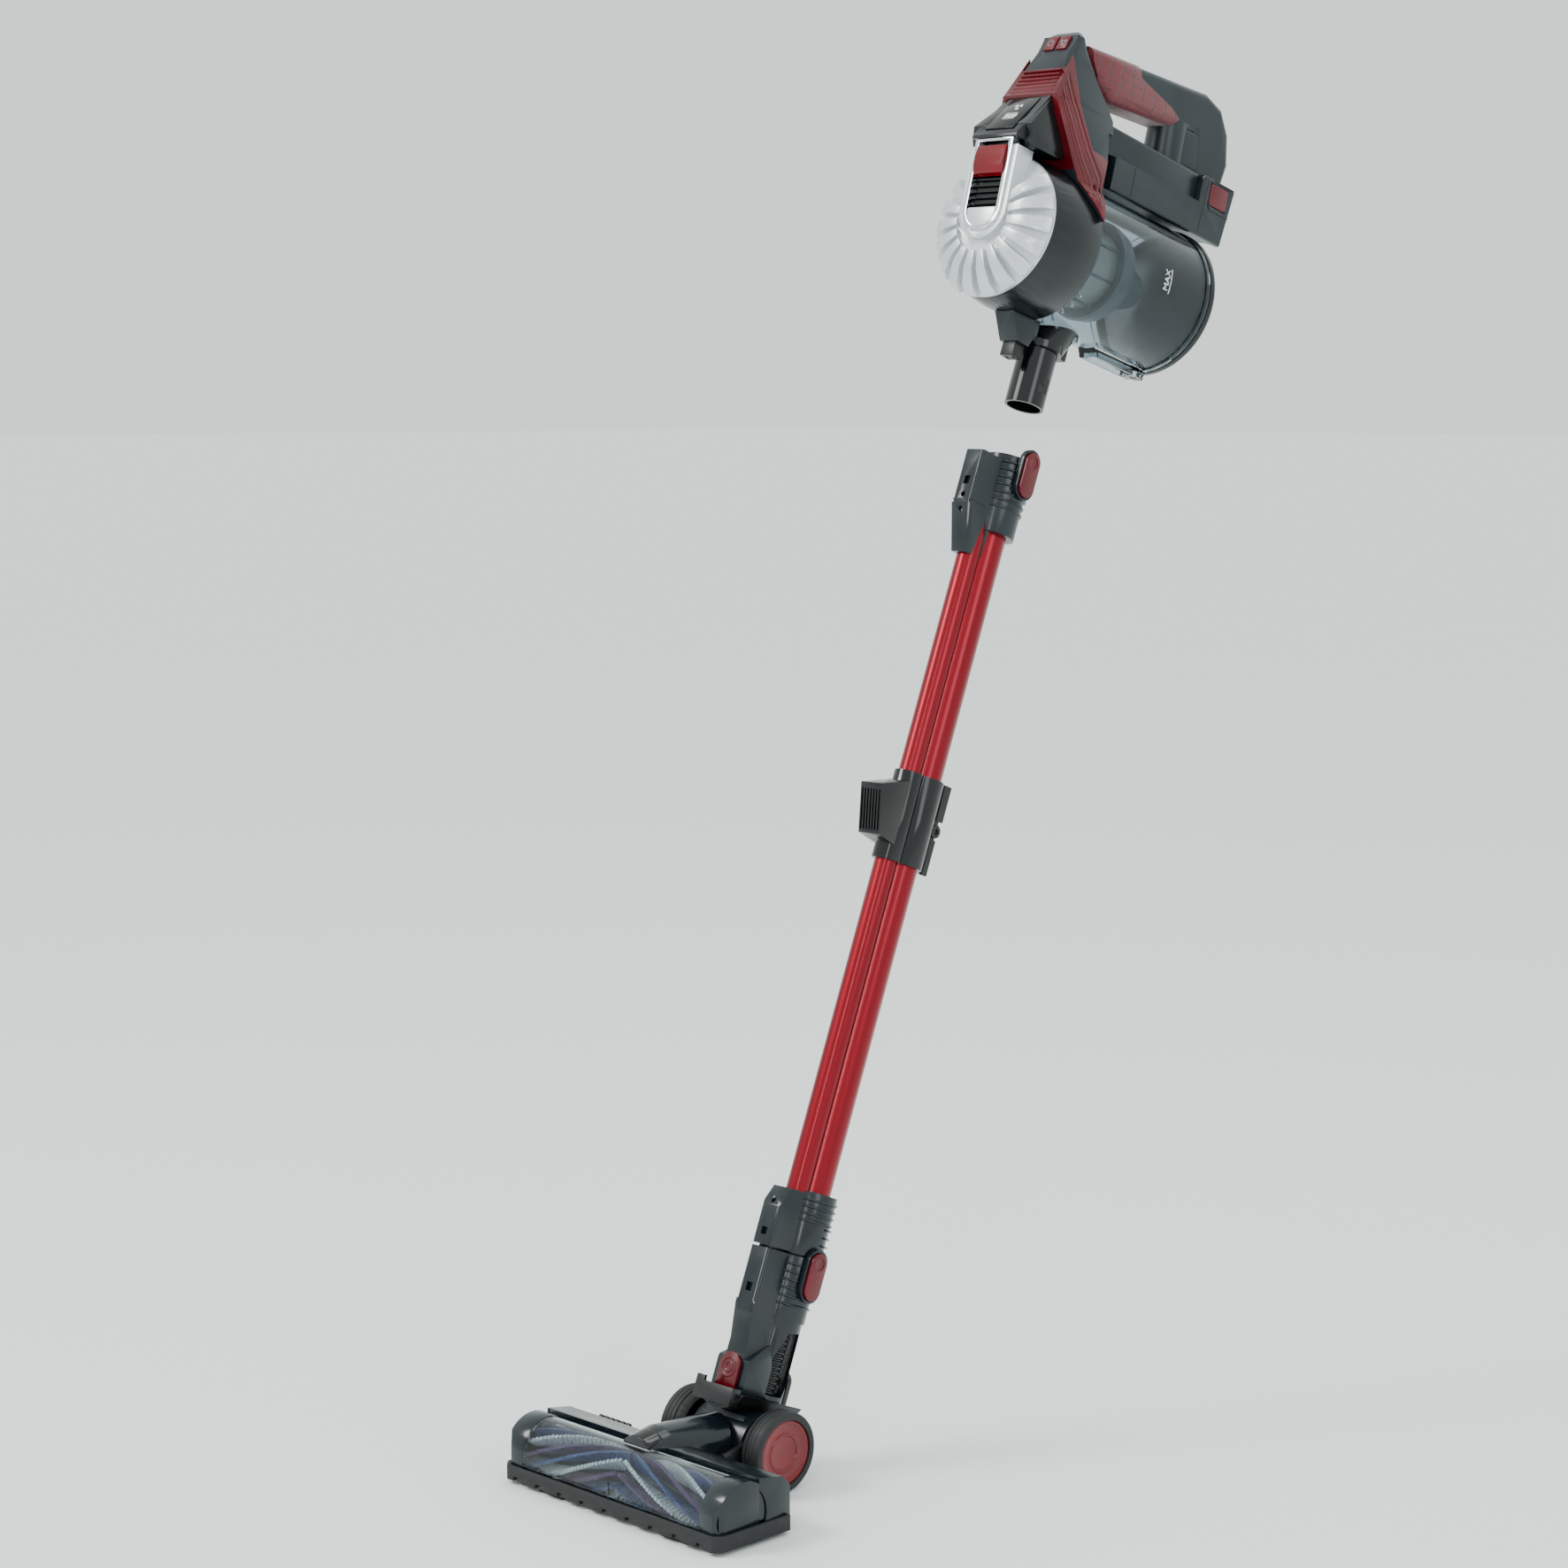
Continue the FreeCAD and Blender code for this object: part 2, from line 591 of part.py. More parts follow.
def lid_catch():
    """Catch that slides sideways on top of the bin; its hook sits behind the lid's tooth."""
    z = bin_r + 1.2 + gap
    plate = box((-8, 8), (bin_rear - 18, bin_rear - 2), (z, z + 0.9))
    thumb = box((-8, 8), (bin_rear - 18, bin_rear - 15), (bin_r + gap, z + 0.9))
    arm = box((-hook_half_width, hook_half_width), (bin_rear - 3, bin_rear + 3.8), (z, z + 0.9))
    hook = box((-hook_half_width, hook_half_width), (bin_rear + 2.1, bin_rear + 3.8), (bin_r - 0.6, z + 0.5))
    return fused([plate, thumb, arm, hook])


# ---- hand unit: nozzle ----

elbow_height = 30.0
elbow_reach = 15.0
collar_r = 19.8


def elbow_line(r):
    """Round bar along the elbow's slanting axis, above the collar's lower face."""
    low, high = -12.0, elbow_height + 12.0
    slope = elbow_reach / elbow_height
    bar = cyl(r, (0, low * slope, shoulder + low), (0, high * slope, shoulder + high))
    return bar.cut(box((-60, 60), (-60, 60), (shoulder - 60, shoulder)))


def nozzle_elbow():
    """Spigot with its bayonet slot, collar and short elbow up to the bin's inlet."""
    tip = shoulder - spigot_length
    bore_r = spigot_r - spigot_wall
    spigot = cyl(spigot_r, (0, 0, tip), (0, 0, shoulder + 2))
    collar = cyl(collar_r, (0, 0, shoulder), (0, 0, shoulder + 6))
    hook = box((-8, 8), (8, 26), (shoulder + 1, shoulder + 14))
    body = fused([spigot, collar, elbow_line(collar_r - 1.4), hook])
    body = body.cut(cyl(bore_r, (0, 0, tip - 1), (0, 0, shoulder + 3))).cut(elbow_line(bore_r - 0.7))
    slot = box((spigot_r - 0.9, spigot_r + 1), (-6, 7), (tip + 12, tip + 19))
    slot = slot.fuse(box((spigot_r - 0.9, spigot_r + 1), (2, 7), (tip + 12, tip + 25)))
    return body.cut(slot).cut(barrel_keepout())


def barrel_keepout():
    """The barrel and bin, in the wand frame, that the nozzle must leave clear."""
    keep = cyl(barrel_r + 0.2, (0, barrel_front - 1, 0), (0, barrel_rear + 0.2, 0))
    bin_space = cyl(bin_r + 0.4, (0, barrel_rear - 1, 0), (0, bin_rear, 0))
    inlet = box((-15.4, 15.4), (inlet_y - 16.4, inlet_y + 60), (-bin_r - inlet_depth - 0.4, 0))
    keep = fused([keep, bin_space, inlet])
    keep.Placement = wand_frame.inverse().multiply(hand_frame).multiply(keep.Placement)
    return keep


def nozzle_bracket():
    """Gusset under the barrel's front that holds the plug."""
    body = side_prism([(-64, shoulder + 30), (-58, shoulder + 22), (-38, shoulder - 5.6), (-24, shoulder - 5.6), (-20.2, shoulder + 4),
                       (-20.2, shoulder + 30)], (-block_half_width, block_half_width))
    ridge = side_prism([(-20.2, shoulder + 30), (-20.2, shoulder + 2), (-12, shoulder + 2), (-12, shoulder + 30)],
                       (-block_half_width, block_half_width))
    body = body.fuse(ridge.cut(cyl(19.8, (0, 0, shoulder - 1), (0, 0, shoulder + 40)))).removeSplitter()
    return body.cut(barrel_keepout())


# ---- wand ----

socket_depth = spigot_length + 1
coupling_length = 66.0
tube_top = wand_top - socket_depth - 2
tube_bottom = wand_bottom + 15


def upper_coupling():
    low = wand_top - coupling_length
    body = socket(wand_top, low, 6, 5)
    keel_top = wand_top - spigot_length - 3
    wide = [(-block_half_width, -block_front), (block_half_width, -block_front), (block_half_width, -10), (-block_half_width, -10)]
    slim = [(-8, -lobe_offset - lobe_r - 3), (8, -lobe_offset - lobe_r - 3), (8, -12), (-8, -12)]
    ends = [Part.makePolygon([V(x, y, z) for x, y in pts + pts[:1]]) for pts, z in ((wide, keel_top), (slim, wand_top - 90))]
    keel = Part.makeLoft(ends, True, True)
    body = body.fuse(keel).removeSplitter()
    body = body.cut(cyl(2.2, (0, -block_front - 1, wand_top - 57), (0, -block_front + 10, wand_top - 57)))
    return body.cut(figure_eight(tube_r, lobe_r, (wand_top - 100, tube_top)))


def wand_tube():
    z = (tube_bottom, tube_top)
    return figure_eight(tube_r, lobe_r, z).cut(cyl(tube_r - tube_wall, (0, 0, z[0] - 1), (0, 0, z[1] + 1))).cut(
        cyl(lobe_r - tube_wall, (0, -lobe_offset - 0.8, z[0] - 1), (0, -lobe_offset - 0.8, z[1] + 1)).common(
            box((-20, 20), (-40, -lobe_offset + 2.5), (z[0] - 2, z[1] + 2))))


def wand_cable():
    return cyl(3, (0, -lobe_offset - 1, tube_bottom + 4), (0, -lobe_offset - 1, tube_top - 4))


def lower_coupling():
    """Lower end of the wand: spigot, barrel over the tube, contact block and its plug."""
    z = (wand_bottom, wand_bottom + 50)
    body = fused([cyl(socket_r, (0, 0, z[0]), (0, 0, z[1])), contact_block((z[0] + 0.5, z[1] - 2), 8, 0),
                  cyl(spigot_r, (0, 0, z[0] - spigot_length + 1), (0, 0, z[0] + 1)), rear_fins(z[0] + 10, 3)])
    body = body.cut(cyl(spigot_r - spigot_wall, (0, 0, z[0] - spigot_length), (0, 0, tube_bottom)))
    body = body.cut(figure_eight(tube_r, lobe_r, (tube_bottom, z[1] + 10)))
    body = body.cut(box((-3, 3), (-block_front - 1, -block_front + 4), (z[0] + 8, z[0] + 14)))
    body = body.cut(cyl(2.2, (0, -block_front - 1, z[0] + 36), (0, -block_front + 12, z[0] + 36)))
    return body.fuse(electric_plug(z[0] + 0.5)).removeSplitter()


def accessory_holder():
    """Split sleeve round the tube with a tapering slotted box on its front."""
    z = (holder_height - holder_length / 2, holder_height + holder_length / 2)
    sleeve = figure_eight(tube_r + 3, lobe_r + 3, z)
    box_z = (z[0] + 12, z[1] - 16)
    post = [(-lobe_offset - 8, box_z[0]), (-46, box_z[0] + 3), (-58, box_z[1] - 4), (-lobe_offset - 8, box_z[1] + 8)]
    post = side_prism(post, (-11.5, 11.5))
    body = sleeve.fuse(post).removeSplitter()
    front_angle = math.degrees(math.atan2(12, box_z[1] - box_z[0] - 7))
    for i in range(7):
        x = (i - 3) * 3.1
        groove = Part.makeBox(1.5, 4, box_z[1] - box_z[0] - 13, V(x - 0.75, -2.0, 0))
        groove.rotate(V(0, 0, 0), V(1, 0, 0), front_angle)
        groove.translate(V(0, -46.5, box_z[0] + 6))
        body = body.cut(groove)
    flange = box((-5.2, 5.2), (tube_r + 1, tube_r + 8), z)
    body = body.fuse(flange).removeSplitter().cut(figure_eight(tube_r, lobe_r, (z[0] - 1, z[1] + 1)))
    body = body.cut(box((-1.2, 1.2), (tube_r - 1, tube_r + 10), (z[0] - 1, z[1] + 1)))
    for z_screw in holder_screws():
        body = body.cut(cyl(2.0, (-20, tube_r + 5, z_screw), (20, tube_r + 5, z_screw)))
    return body


def holder_screws():
    return (holder_height - 1, holder_height + 24)


def holder_clamp():
    """Screws and side plates that pull the split sleeve shut."""
    z = (holder_height - holder_length / 2 - 1, holder_height - 8)
    shapes = [rounded(box((5.4, 8.4), (tube_r + 3.3, tube_r + 10), z), 1, lambda m, d: abs(d.z) > 0.9 and m.x > 8)]
    shapes.append(rounded(box((5.4, 8.8), (tube_r + 3.3, tube_r + 12), (holder_height + 8, z[1] + 46)), 1,
                          lambda m, d: abs(d.z) > 0.9 and m.x > 8))
    screw_z, upper_z = holder_screws()
    link = box((5.4, 7.6), (tube_r + 3.3, tube_r + 8), (z[1] - 1, holder_height + 9))
    head = cyl(5.5, (5.4, tube_r + 5, screw_z), (10, tube_r + 5, screw_z))
    body = fused(shapes + [link, head])
    for z_screw in (screw_z, upper_z):
        body = body.fuse(cyl(2.0, (-5.2, tube_r + 5, z_screw), (6, tube_r + 5, z_screw)))
    body = body.cut(figure_eight(tube_r + 3.3, lobe_r + 3.3, (z[0] - 1, z[1] + 60))).removeSplitter()
    return body.cut(cyl(2.6, (8.5, tube_r + 5, screw_z), (11, tube_r + 5, screw_z)))


# ---- neck ----

neck_top = wand_bottom - 1.5
neck_low = pivot_height - 18
hose_r = 12.6
cage_r = 18.8
lug_y = (-31.5, -26.5)
ear_y = (cage_r + 0.5, cage_r + 5.0)


def neck_housing():
    """Socket, front shield and open-sided cage round the hose, down to the swivel pivot."""
    cage_top = neck_top - spigot_length - 2
    upper = socket(neck_top, cage_top, 0, 4)
    barrel = cyl(cage_r, (0, 0, neck_low), (0, 0, cage_top + 0.5))
    shield = side_prism([(-10, neck_low), (-38, neck_low), (-38, 105), (-block_front, cage_top + 4), (-block_front, cage_top + 8),
                         (-10, cage_top + 8)], (-block_half_width, block_half_width))
    flare = side_prism([(-6, neck_low), (-38, neck_low), (-38, neck_low + 28), (-6, 112)], (-17.5, 17.5))
    flare = flare.common(front_prism(mirrored([(10, 112), (17.5, neck_low + 26), (17.5, neck_low)]), (-50, 0)))
    body = fused([upper, barrel, shield, flare])
    body = body.cut(cyl(spigot_r + gap, (0, 0, neck_top - spigot_length - 1), (0, 0, neck_top)))
    body = body.cut(cyl(cage_r - 2.4, (0, 0, neck_low - 1), (0, 0, cage_top - 2)))
    body = body.cut(box((-14.8, 14.8), (lug_y[0] - 1, 0), (neck_low - 1, pivot_height + 9)))
    body = body.cut(cyl(hose_r - 2.4, (0, 0, cage_top - 5), (0, 0, cage_top + 3)))
    for side in (-1, 1):
        opening = side_prism([(-12, 68), (-12, 96), (-4, 118), (9, 120), (13, 110), (13, 78), (6, 68)], sorted((side * 6, side * 40)))
        body = body.cut(opening)
    body = body.cut(cyl(axle_r + pin_clearance, (0, -60, pivot_height), (0, -20, pivot_height)))
    body = body.cut(cyl(axle_r + pin_clearance, (0, 10, pivot_height), (0, 40, pivot_height)))
    relief = cyl(neck_relief_r(), (-60, axle_in_wand().y, axle_in_wand().z), (60, axle_in_wand().y, axle_in_wand().z))
    return body.cut(relief)


def neck_relief_r():
    return pivot_height - 18 - axle_in_wand().z


def axle_in_wand():
    return wand_frame.inverse().multVec(V(0, 0, wheel_r))


def neck_hose():
    """Corrugated air hose inside the neck."""
    low, high = pivot_height - 12, neck_top - spigot_length - 4.2
    pitch = 4.0
    count = int((high - low) / pitch)
    points = [(hose_r - 2.2, low)]
    for i in range(count):
        z = low + i * pitch
        points += [(hose_r - 1.6, z + 0.4), (hose_r, z + 1.2), (hose_r, z + 2.6), (hose_r - 1.6, z + 3.4)]
    points += [(hose_r - 1.6, high), (hose_r - 2.2, high)]
    return face([(r, 0, z) for r, z in points]).revolve(V(0, 0, 0), V(0, 0, 1), 360)


def pivot_cap():
    """Red cap over the swivel's front pin, with raised rings."""
    z = (neck_low + 1, pivot_height + 14)
    y = (-41.6, -38.3)
    body = box((-10.5, 10.5), y, (z[0], z[1] - 10.5)).fuse(cyl(10.5, (0, y[0], z[1] - 10.5), (0, y[1], z[1] - 10.5)))
    for r in (8.0, 4.4):
        body = body.fuse(ring(r, r - 1.2, (0, y[0] - 0.7, pivot_height + 2), (0, y[0] + 0.5, pivot_height + 2)))
    return body.removeSplitter()


# ---- swivel yoke ----

yoke_half_width = 28.8


def axle_line(r, half_width):
    axle = axle_in_wand()
    return cyl(r, (-half_width, axle.y, axle.z), (half_width, axle.y, axle.z))


sweep_r = 28.0
base_top = pivot_height - sweep_r - 0.6


def yoke_hub():
    """Saddle that turns on the wheel axle, hollow for the air path."""
    axle = axle_in_wand()
    base = box((-21, 21), (lug_y[0], ear_y[1]), (axle.z + 6, base_top - 3))
    body = axle_line(barrel_hub_r, yoke_half_width).fuse(base).removeSplitter()
    body = body.cut(pivot_line(sweep_r + 3.2, (-60, 60)))
    body = body.cut(cyl(11, (0, -2, axle.z + 2), (0, -2, base_top + 1)))
    return body.cut(axle_line(axle_r + pin_clearance, 40))


def pivot_line(r, y):
    return cyl(r, (0, y[0], pivot_height), (0, y[1], pivot_height))


def swivel_cradle():
    """Fork for the neck's pins, the curved trough under the neck and the bracket in front of the cap."""
    trough = pivot_line(sweep_r + 3, (-44.5, ear_y[1])).cut(pivot_line(sweep_r, (-60, 60)))
    trough = trough.common(box((-27, 27), (-60, 60), (0, pivot_height - 16)))
    lug = box((-3.4, 3.4), lug_y, (base_top - 2, pivot_height)).fuse(pivot_line(6.2, lug_y))
    ear = box((-9, 9), ear_y, (base_top - 2, pivot_height)).fuse(pivot_line(9, ear_y))
    front_pin = pivot_line(axle_r, (-37.9, lug_y[0] + 1))
    rear_pin = pivot_line(axle_r, (cage_r - 2.2, ear_y[1]))
    floor_z = base_top + 1.6
    tray = box((-18, 18), (-52, -42.4), (floor_z, floor_z + 2.5))
    front = box((-20.5, 20.5), (-52, -49.5), (floor_z, floor_z + 14))
    cheeks = [box((x, x + 2.5), (-52, -42.4), (floor_z, floor_z + 14)) for x in (-20.5, 18)]
    hook = box((-20.5, -12), (-52, -49.5), (floor_z + 13, floor_z + 18))
    body = fused([trough, lug, ear, front_pin, rear_pin, tray, front, hook] + cheeks)
    return body.cut(cyl(11, (0, -2, 0), (0, -2, base_top + 3)))


# ---- floor head ----

chamber_r = bristle_r + 1.8
end_cap_x = 100.0
sole = 3.0
deck = 14.0
arm_x = (29.2, 33.2)


def head_plan(grow, rear):
    w = head_half_width + grow
    return [(-w, head_front - grow + 6), (-w + 6, head_front - grow), (w - 6, head_front - grow), (w, head_front - grow + 6),
            (w, rear), (70, rear + 8), (36, rear + 22), (-36, rear + 22), (-70, rear + 8), (-w, rear)]


def roller_space(r, x):
    return cyl(r, (-x, roller_y, roller_z), (x, roller_y, roller_z))


def yoke_sweep(r):
    return cyl(r, (-arm_x[0], 0, wheel_r), (arm_x[0], 0, wheel_r))


def head_chassis():
    """Sole plate, brush chamber floor and the two arms that hold the axle."""
    body = plan_prism(head_plan(-0.2, head_rear), (sole, deck))
    arms = []
    for side in (-1, 1):
        x = sorted((side * arm_x[0], side * arm_x[1]))
        arm = side_prism([(-45, sole), (-45, 36), (0, wheel_r + 12), (12, wheel_r), (8, wheel_r - 12), (-20, sole)], x)
        arms.append(arm)
    bridge = box((-arm_x[1], arm_x[1]), (head_rear + 10, -34), (sole, deck + 4))
    glides = [box((x - 14, x + 14), (head_front + 2.5, head_front + 8.5), (0, sole + 1)) for x in (-70, 70)]
    body = fused([body, bridge] + arms + glides)
    body = body.cut(roller_space(chamber_r, end_cap_x + 1))
    body = body.cut(roller_space(12.6, head_half_width - 3))
    body = body.cut(cyl(axle_r, (-60, 0, wheel_r), (60, 0, wheel_r))).cut(belt_space())
    return body.cut(yoke_sweep(barrel_hub_r + 0.6))


def cover_profile(inset):
    return [(head_rear - 32 + inset, deck), (head_rear - 32 + inset, head_height + 3 - inset),
            (head_rear - 8, head_height - 1 - inset), (head_rear - inset, head_height - 9), (head_rear - inset, deck)]


def hump_section(y, half_width, base, side_z, top):
    left, right = V(-half_width, y, side_z), V(half_width, y, side_z)
    arch = Part.Arc(left, V(0, y, top), right).toShape()
    low = Part.makePolygon([right, V(half_width, y, base), V(-half_width, y, base), left])
    return Part.Wire([arch] + low.Edges)


def hump(shrink):
    sections = [hump_section(-107, 14 - shrink, 40, 50 - shrink, 57.5 - shrink),
                hump_section(-84, 20 - shrink, 30, 49 - shrink, 61.5 - shrink),
                hump_section(-19, 27 - shrink, 16, 40 - shrink, 57 - shrink)]
    return Part.makeLoft(sections, True, True)


def head_cover():
    """Upper shell with the central hump back to the yoke."""
    w = head_half_width - 0.2
    outer = side_prism(cover_profile(0), (-w, w))
    outer = rounded(outer, 5, lambda m, d: (abs(d.x) > 0.99 and m.z > head_height - 12 and m.y > head_rear - 12))
    rear_deck = plan_prism([(-70, head_rear - 1), (70, head_rear - 1), (36, head_rear + 20), (-36, head_rear + 20)], (deck, head_height - 13))
    shell = fused([outer, rear_deck, hump(0)])
    inner = side_prism(cover_profile(2.4), (-w + 2.4, w - 2.4))
    shell = shell.cut(inner).cut(box((-90, 90), (head_rear - 8, head_rear + 5), (deck - 1, head_height - 16)))
    chamber_wall = roller_space(chamber_r + 1.8, w - 4).common(side_prism(cover_profile(1), (-w + 1, w - 1)))
    shell = shell.fuse(chamber_wall).removeSplitter()
    shell = shell.cut(roller_space(chamber_r, head_half_width + 1))
    tunnel = hump(3.5).common(box((-40, 40), (-105, -20), (deck + 3, 70)))
    shell = shell.cut(tunnel).cut(yoke_sweep(barrel_hub_r + 7))
    shell = shell.cut(roller_space(window_r + 0.2, end_cap_x + 0.2).cut(box((-200, 200), (roller_y + 7.5, 0), (0, 100))))
    motor_space = cyl(motor_r + 0.4, (20, motor_y, motor_z), (head_half_width - 2.8, motor_y, motor_z))
    return shell.cut(motor_space).cut(lens_space(0.1)).cut(belt_space()).cut(chassis_body)


motor_r = 9.0
motor_y = -71.5
motor_z = 27.0
pulley_x = (head_half_width - 10, head_half_width - 5)
roller_pulley_r = 11.0
motor_pulley_r = 5.5
belt_thickness = 1.5


def lens_space(grow):
    return hump(-0.4 - grow).common(box((-14 - grow, 14 + grow), (-112, -92 + grow), (50 - grow, 70)))


def led_lens():
    return lens_space(0)


def brush_window():
    """Clear curved window over the front of the roller."""
    band = roller_space(window_r, end_cap_x).cut(roller_space(window_r - 2, end_cap_x + 1))
    front = box((-end_cap_x, end_cap_x), (head_front - 5, roller_y + 7), (deck + 2, 80))
    window = band.common(front)
    rib = box((-0.8, 0.8), (head_front - 0.6, head_front + 3), (deck + 2, deck + 14))
    rib = rib.cut(roller_space(window_r - 0.5, 10))
    return window.fuse(rib).removeSplitter().cut(hump(-0.6))


def end_cap(side):
    x = sorted((side * (end_cap_x + 0.2), side * head_half_width))
    crown = cyl(window_r + 0.5, (x[0], roller_y, roller_z), (x[1], roller_y, roller_z))
    lower = box(x, (head_front + 0.2, head_rear - 32.2), (deck + 0.2, roller_z))
    body = crown.common(box(x, (-200, head_rear - 32.2), (deck + 0.2, 100))).fuse(lower).removeSplitter()
    inner_x = sorted((side * end_cap_x, side * (head_half_width - 2.6)))
    body = body.common(plan_prism(head_plan(-0.1, head_rear), (0, 100)))
    return body.cut(cyl(chamber_r + 0.6, (inner_x[0], roller_y, roller_z), (inner_x[1], roller_y, roller_z)))


def front_lip():
    """Soft black bumper round the head's front and sides, notched along its lower front."""
    outer = plan_prism(head_plan(2.4, head_rear - 2), (sole + 0.4, deck + 1.6))
    inner = plan_prism(head_plan(0, head_rear + 30), (sole - 1, deck + 3))
    body = outer.cut(inner).cut(box((-200, 200), (head_rear - 2, 40), (0, 60)))
    for i in range(9):
        x = (i - 4) * 26
        body = body.cut(box((x - 5, x + 5), (head_front - 6, head_front + 2), (sole - 1, sole + 4)))
    return body


def brush_roller():
    core = cyl(10.5, (-end_cap_x + 1, roller_y, roller_z), (end_cap_x - 1, roller_y, roller_z))
    shaft = cyl(3, (-head_half_width + 3.4, roller_y, roller_z), (pulley_x[1] + 1, roller_y, roller_z))
    pulley = cyl(roller_pulley_r, (pulley_x[0], roller_y, roller_z), (pulley_x[1], roller_y, roller_z))
    return fused([core, shaft, pulley])


def brush_bristles():
    x = end_cap_x - 3
    return ring(bristle_r, 10.5, (-x, roller_y, roller_z), (x, roller_y, roller_z))


def brush_bearings():
    rings = []
    for x in ((-head_half_width + 4, -end_cap_x - 12), (end_cap_x + 2, end_cap_x + 7)):
        bearing = ring(12, 3 + pin_clearance, (x[0], roller_y, roller_z), (x[1], roller_y, roller_z))
        rings.append(bearing)
    return Part.makeCompound(rings)


def brush_motor():
    can = cyl(motor_r, (24, motor_y, motor_z), (78, motor_y, motor_z))
    return can.cut(cyl(1.5 + pin_clearance, (20, motor_y, motor_z), (80, motor_y, motor_z)))


def motor_pulley():
    shaft = cyl(1.5, (26, motor_y, motor_z), (pulley_x[1] + 1, motor_y, motor_z))
    return shaft.fuse(cyl(motor_pulley_r, (pulley_x[0], motor_y, motor_z), (pulley_x[1], motor_y, motor_z))).removeSplitter()


def belt_loop(grow, x):
    """Outline of a belt round both pulleys, grown from their rims."""
    big = cyl(roller_pulley_r + grow, (x[0], roller_y, roller_z), (x[1], roller_y, roller_z))
    small = cyl(motor_pulley_r + grow, (x[0], motor_y, motor_z), (x[1], motor_y, motor_z))
    run = V(0, motor_y - roller_y, motor_z - roller_z)
    tilt = math.asin((roller_pulley_r - motor_pulley_r) / run.Length)
    base = math.atan2(run.z, run.y)
    points = []
    for sign in (1, -1):
        angle = base + sign * (math.pi / 2 - tilt)
        for r, y, z in ((roller_pulley_r, roller_y, roller_z), (motor_pulley_r, motor_y, motor_z)):
            points.append((y + (r + grow) * math.cos(angle), z + (r + grow) * math.sin(angle)))
    quad = side_prism([points[0], points[1], points[3], points[2]], x)
    return fused([big, small, quad])


def belt_space():
    return belt_loop(gap + belt_thickness + 0.5, (pulley_x[0] - 1, pulley_x[1] + 2))


def drive_belt():
    x = (pulley_x[0] + 0.5, pulley_x[1] - 0.5)
    return belt_loop(gap + belt_thickness, x).cut(belt_loop(gap, (x[0] - 1, x[1] + 1)))


def wheel_axle():
    return cyl(axle_r, (-wheel_outer + 4, 0, wheel_r), (wheel_outer - 4, 0, wheel_r))


def tyre(side):
    x = (wheel_outer - wheel_width, wheel_outer)
    profile = [(wheel_r - 6, x[0]), (wheel_r - 5, x[0]), (wheel_r - 2, x[0] + 3), (wheel_r - 0.6, x[0] + 7), (wheel_r, x[0] + 12),
               (wheel_r, x[1] - 1.5), (wheel_r - 1.5, x[1]), (wheel_r - 6, x[1])]
    return wheel_shape(profile, side)


def wheel_shape(profile, side):
    """Spins an outline in radius, x about the wheel axle."""
    body = face([(side * x, 0, r) for r, x in profile]).revolve(V(0, 0, 0), V(1, 0, 0), 360)
    body.translate(V(0, 0, wheel_r))
    return body


def hub(side):
    x = (wheel_outer - wheel_width + 0.5, wheel_outer - 1.5)
    bore = axle_r + pin_clearance
    rim = wheel_r - 6
    profile = [(bore, x[0] + 1), (9, x[0] + 1), (9, x[1] - 7), (rim - 3, x[1] - 7), (rim - 3, x[0] + 1), (rim, x[0]),
               (rim, x[1]), (rim - 2, x[1] + 0.6), (rim - 4, x[1] - 0.6), (16, x[1] - 1.2), (15, x[1] - 0.4), (13.6, x[1] - 0.4),
               (13, x[1] - 1.4), (0, x[1] - 1.4), (0, x[1] - 2.2), (bore, x[1] - 2.2)]
    return wheel_shape(profile, side)


# ---- every piece, by its working frame ----

arch_body = arch_solid()
chassis_body = head_chassis()
handle_body = handle_shell()

add("motor_casing", motor_casing(), hand_frame)
add("suction_motor", suction_motor(), hand_frame)
add("impeller", impeller(), hand_frame)
add("front_cover", front_cover(), hand_frame)
add("chrome_bezel", chrome_bezel(), hand_frame)
add("cover_latch", cover_latch(), hand_frame)
add("arch_shell_left", arch_half(-1), hand_frame)
add("arch_shell_right", arch_half(1), hand_frame)
add("ribbed_band", grip_band(), hand_frame)
add("power_button", press_button_block(-1, 0, -2.2, 1.4), hand_frame)
add("boost_button", press_button_block(1, 0, -2.2, 1.4), hand_frame)
add("display_housing", display_housing(), hand_frame)
add("display_glass", display_block(0), hand_frame)
add("lower_arm", lower_arm(), hand_frame)
add("handle_shell", handle_body, hand_frame)
add("grip_cover", grip_cover(), hand_frame)
add("control_board", control_board(), hand_frame)
add("battery_case", battery_case(), hand_frame)
add("battery_cells", battery_cells(), hand_frame)
add("battery_button_left", battery_button(-1), hand_frame)
add("battery_button_right", battery_button(1), hand_frame)
add("bin_shell", bin_shell(), hand_frame)
add("cyclone_body", cyclone_body(), hand_frame)
add("cyclone_mesh", cyclone_mesh(), hand_frame)
add("bin_lid", bin_lid(), hand_frame)
add("lid_catch", lid_catch(), hand_frame)

add("nozzle_elbow", nozzle_elbow(), wand_frame)
add("nozzle_bracket", nozzle_bracket(), wand_frame)
add("nozzle_plug", electric_plug(shoulder - 5.6), wand_frame)
add("upper_coupling", upper_coupling(), wand_frame)
add("upper_release_button", release_button(wand_top), wand_frame)
add("wand_tube", wand_tube(), wand_frame)
add("wand_cable", wand_cable(), wand_frame)
add("accessory_holder", accessory_holder(), wand_frame)
add("holder_clamp", holder_clamp(), wand_frame)
add("lower_coupling", lower_coupling(), wand_frame)
add("neck_housing", neck_housing(), wand_frame)
add("neck_hose", neck_hose(), wand_frame)
add("pivot_cap", pivot_cap(), wand_frame)
add("lower_release_button", release_button(neck_top), wand_frame)
add("swivel_cradle", swivel_cradle(), wand_frame)
add("yoke_hub", yoke_hub(), wand_frame)

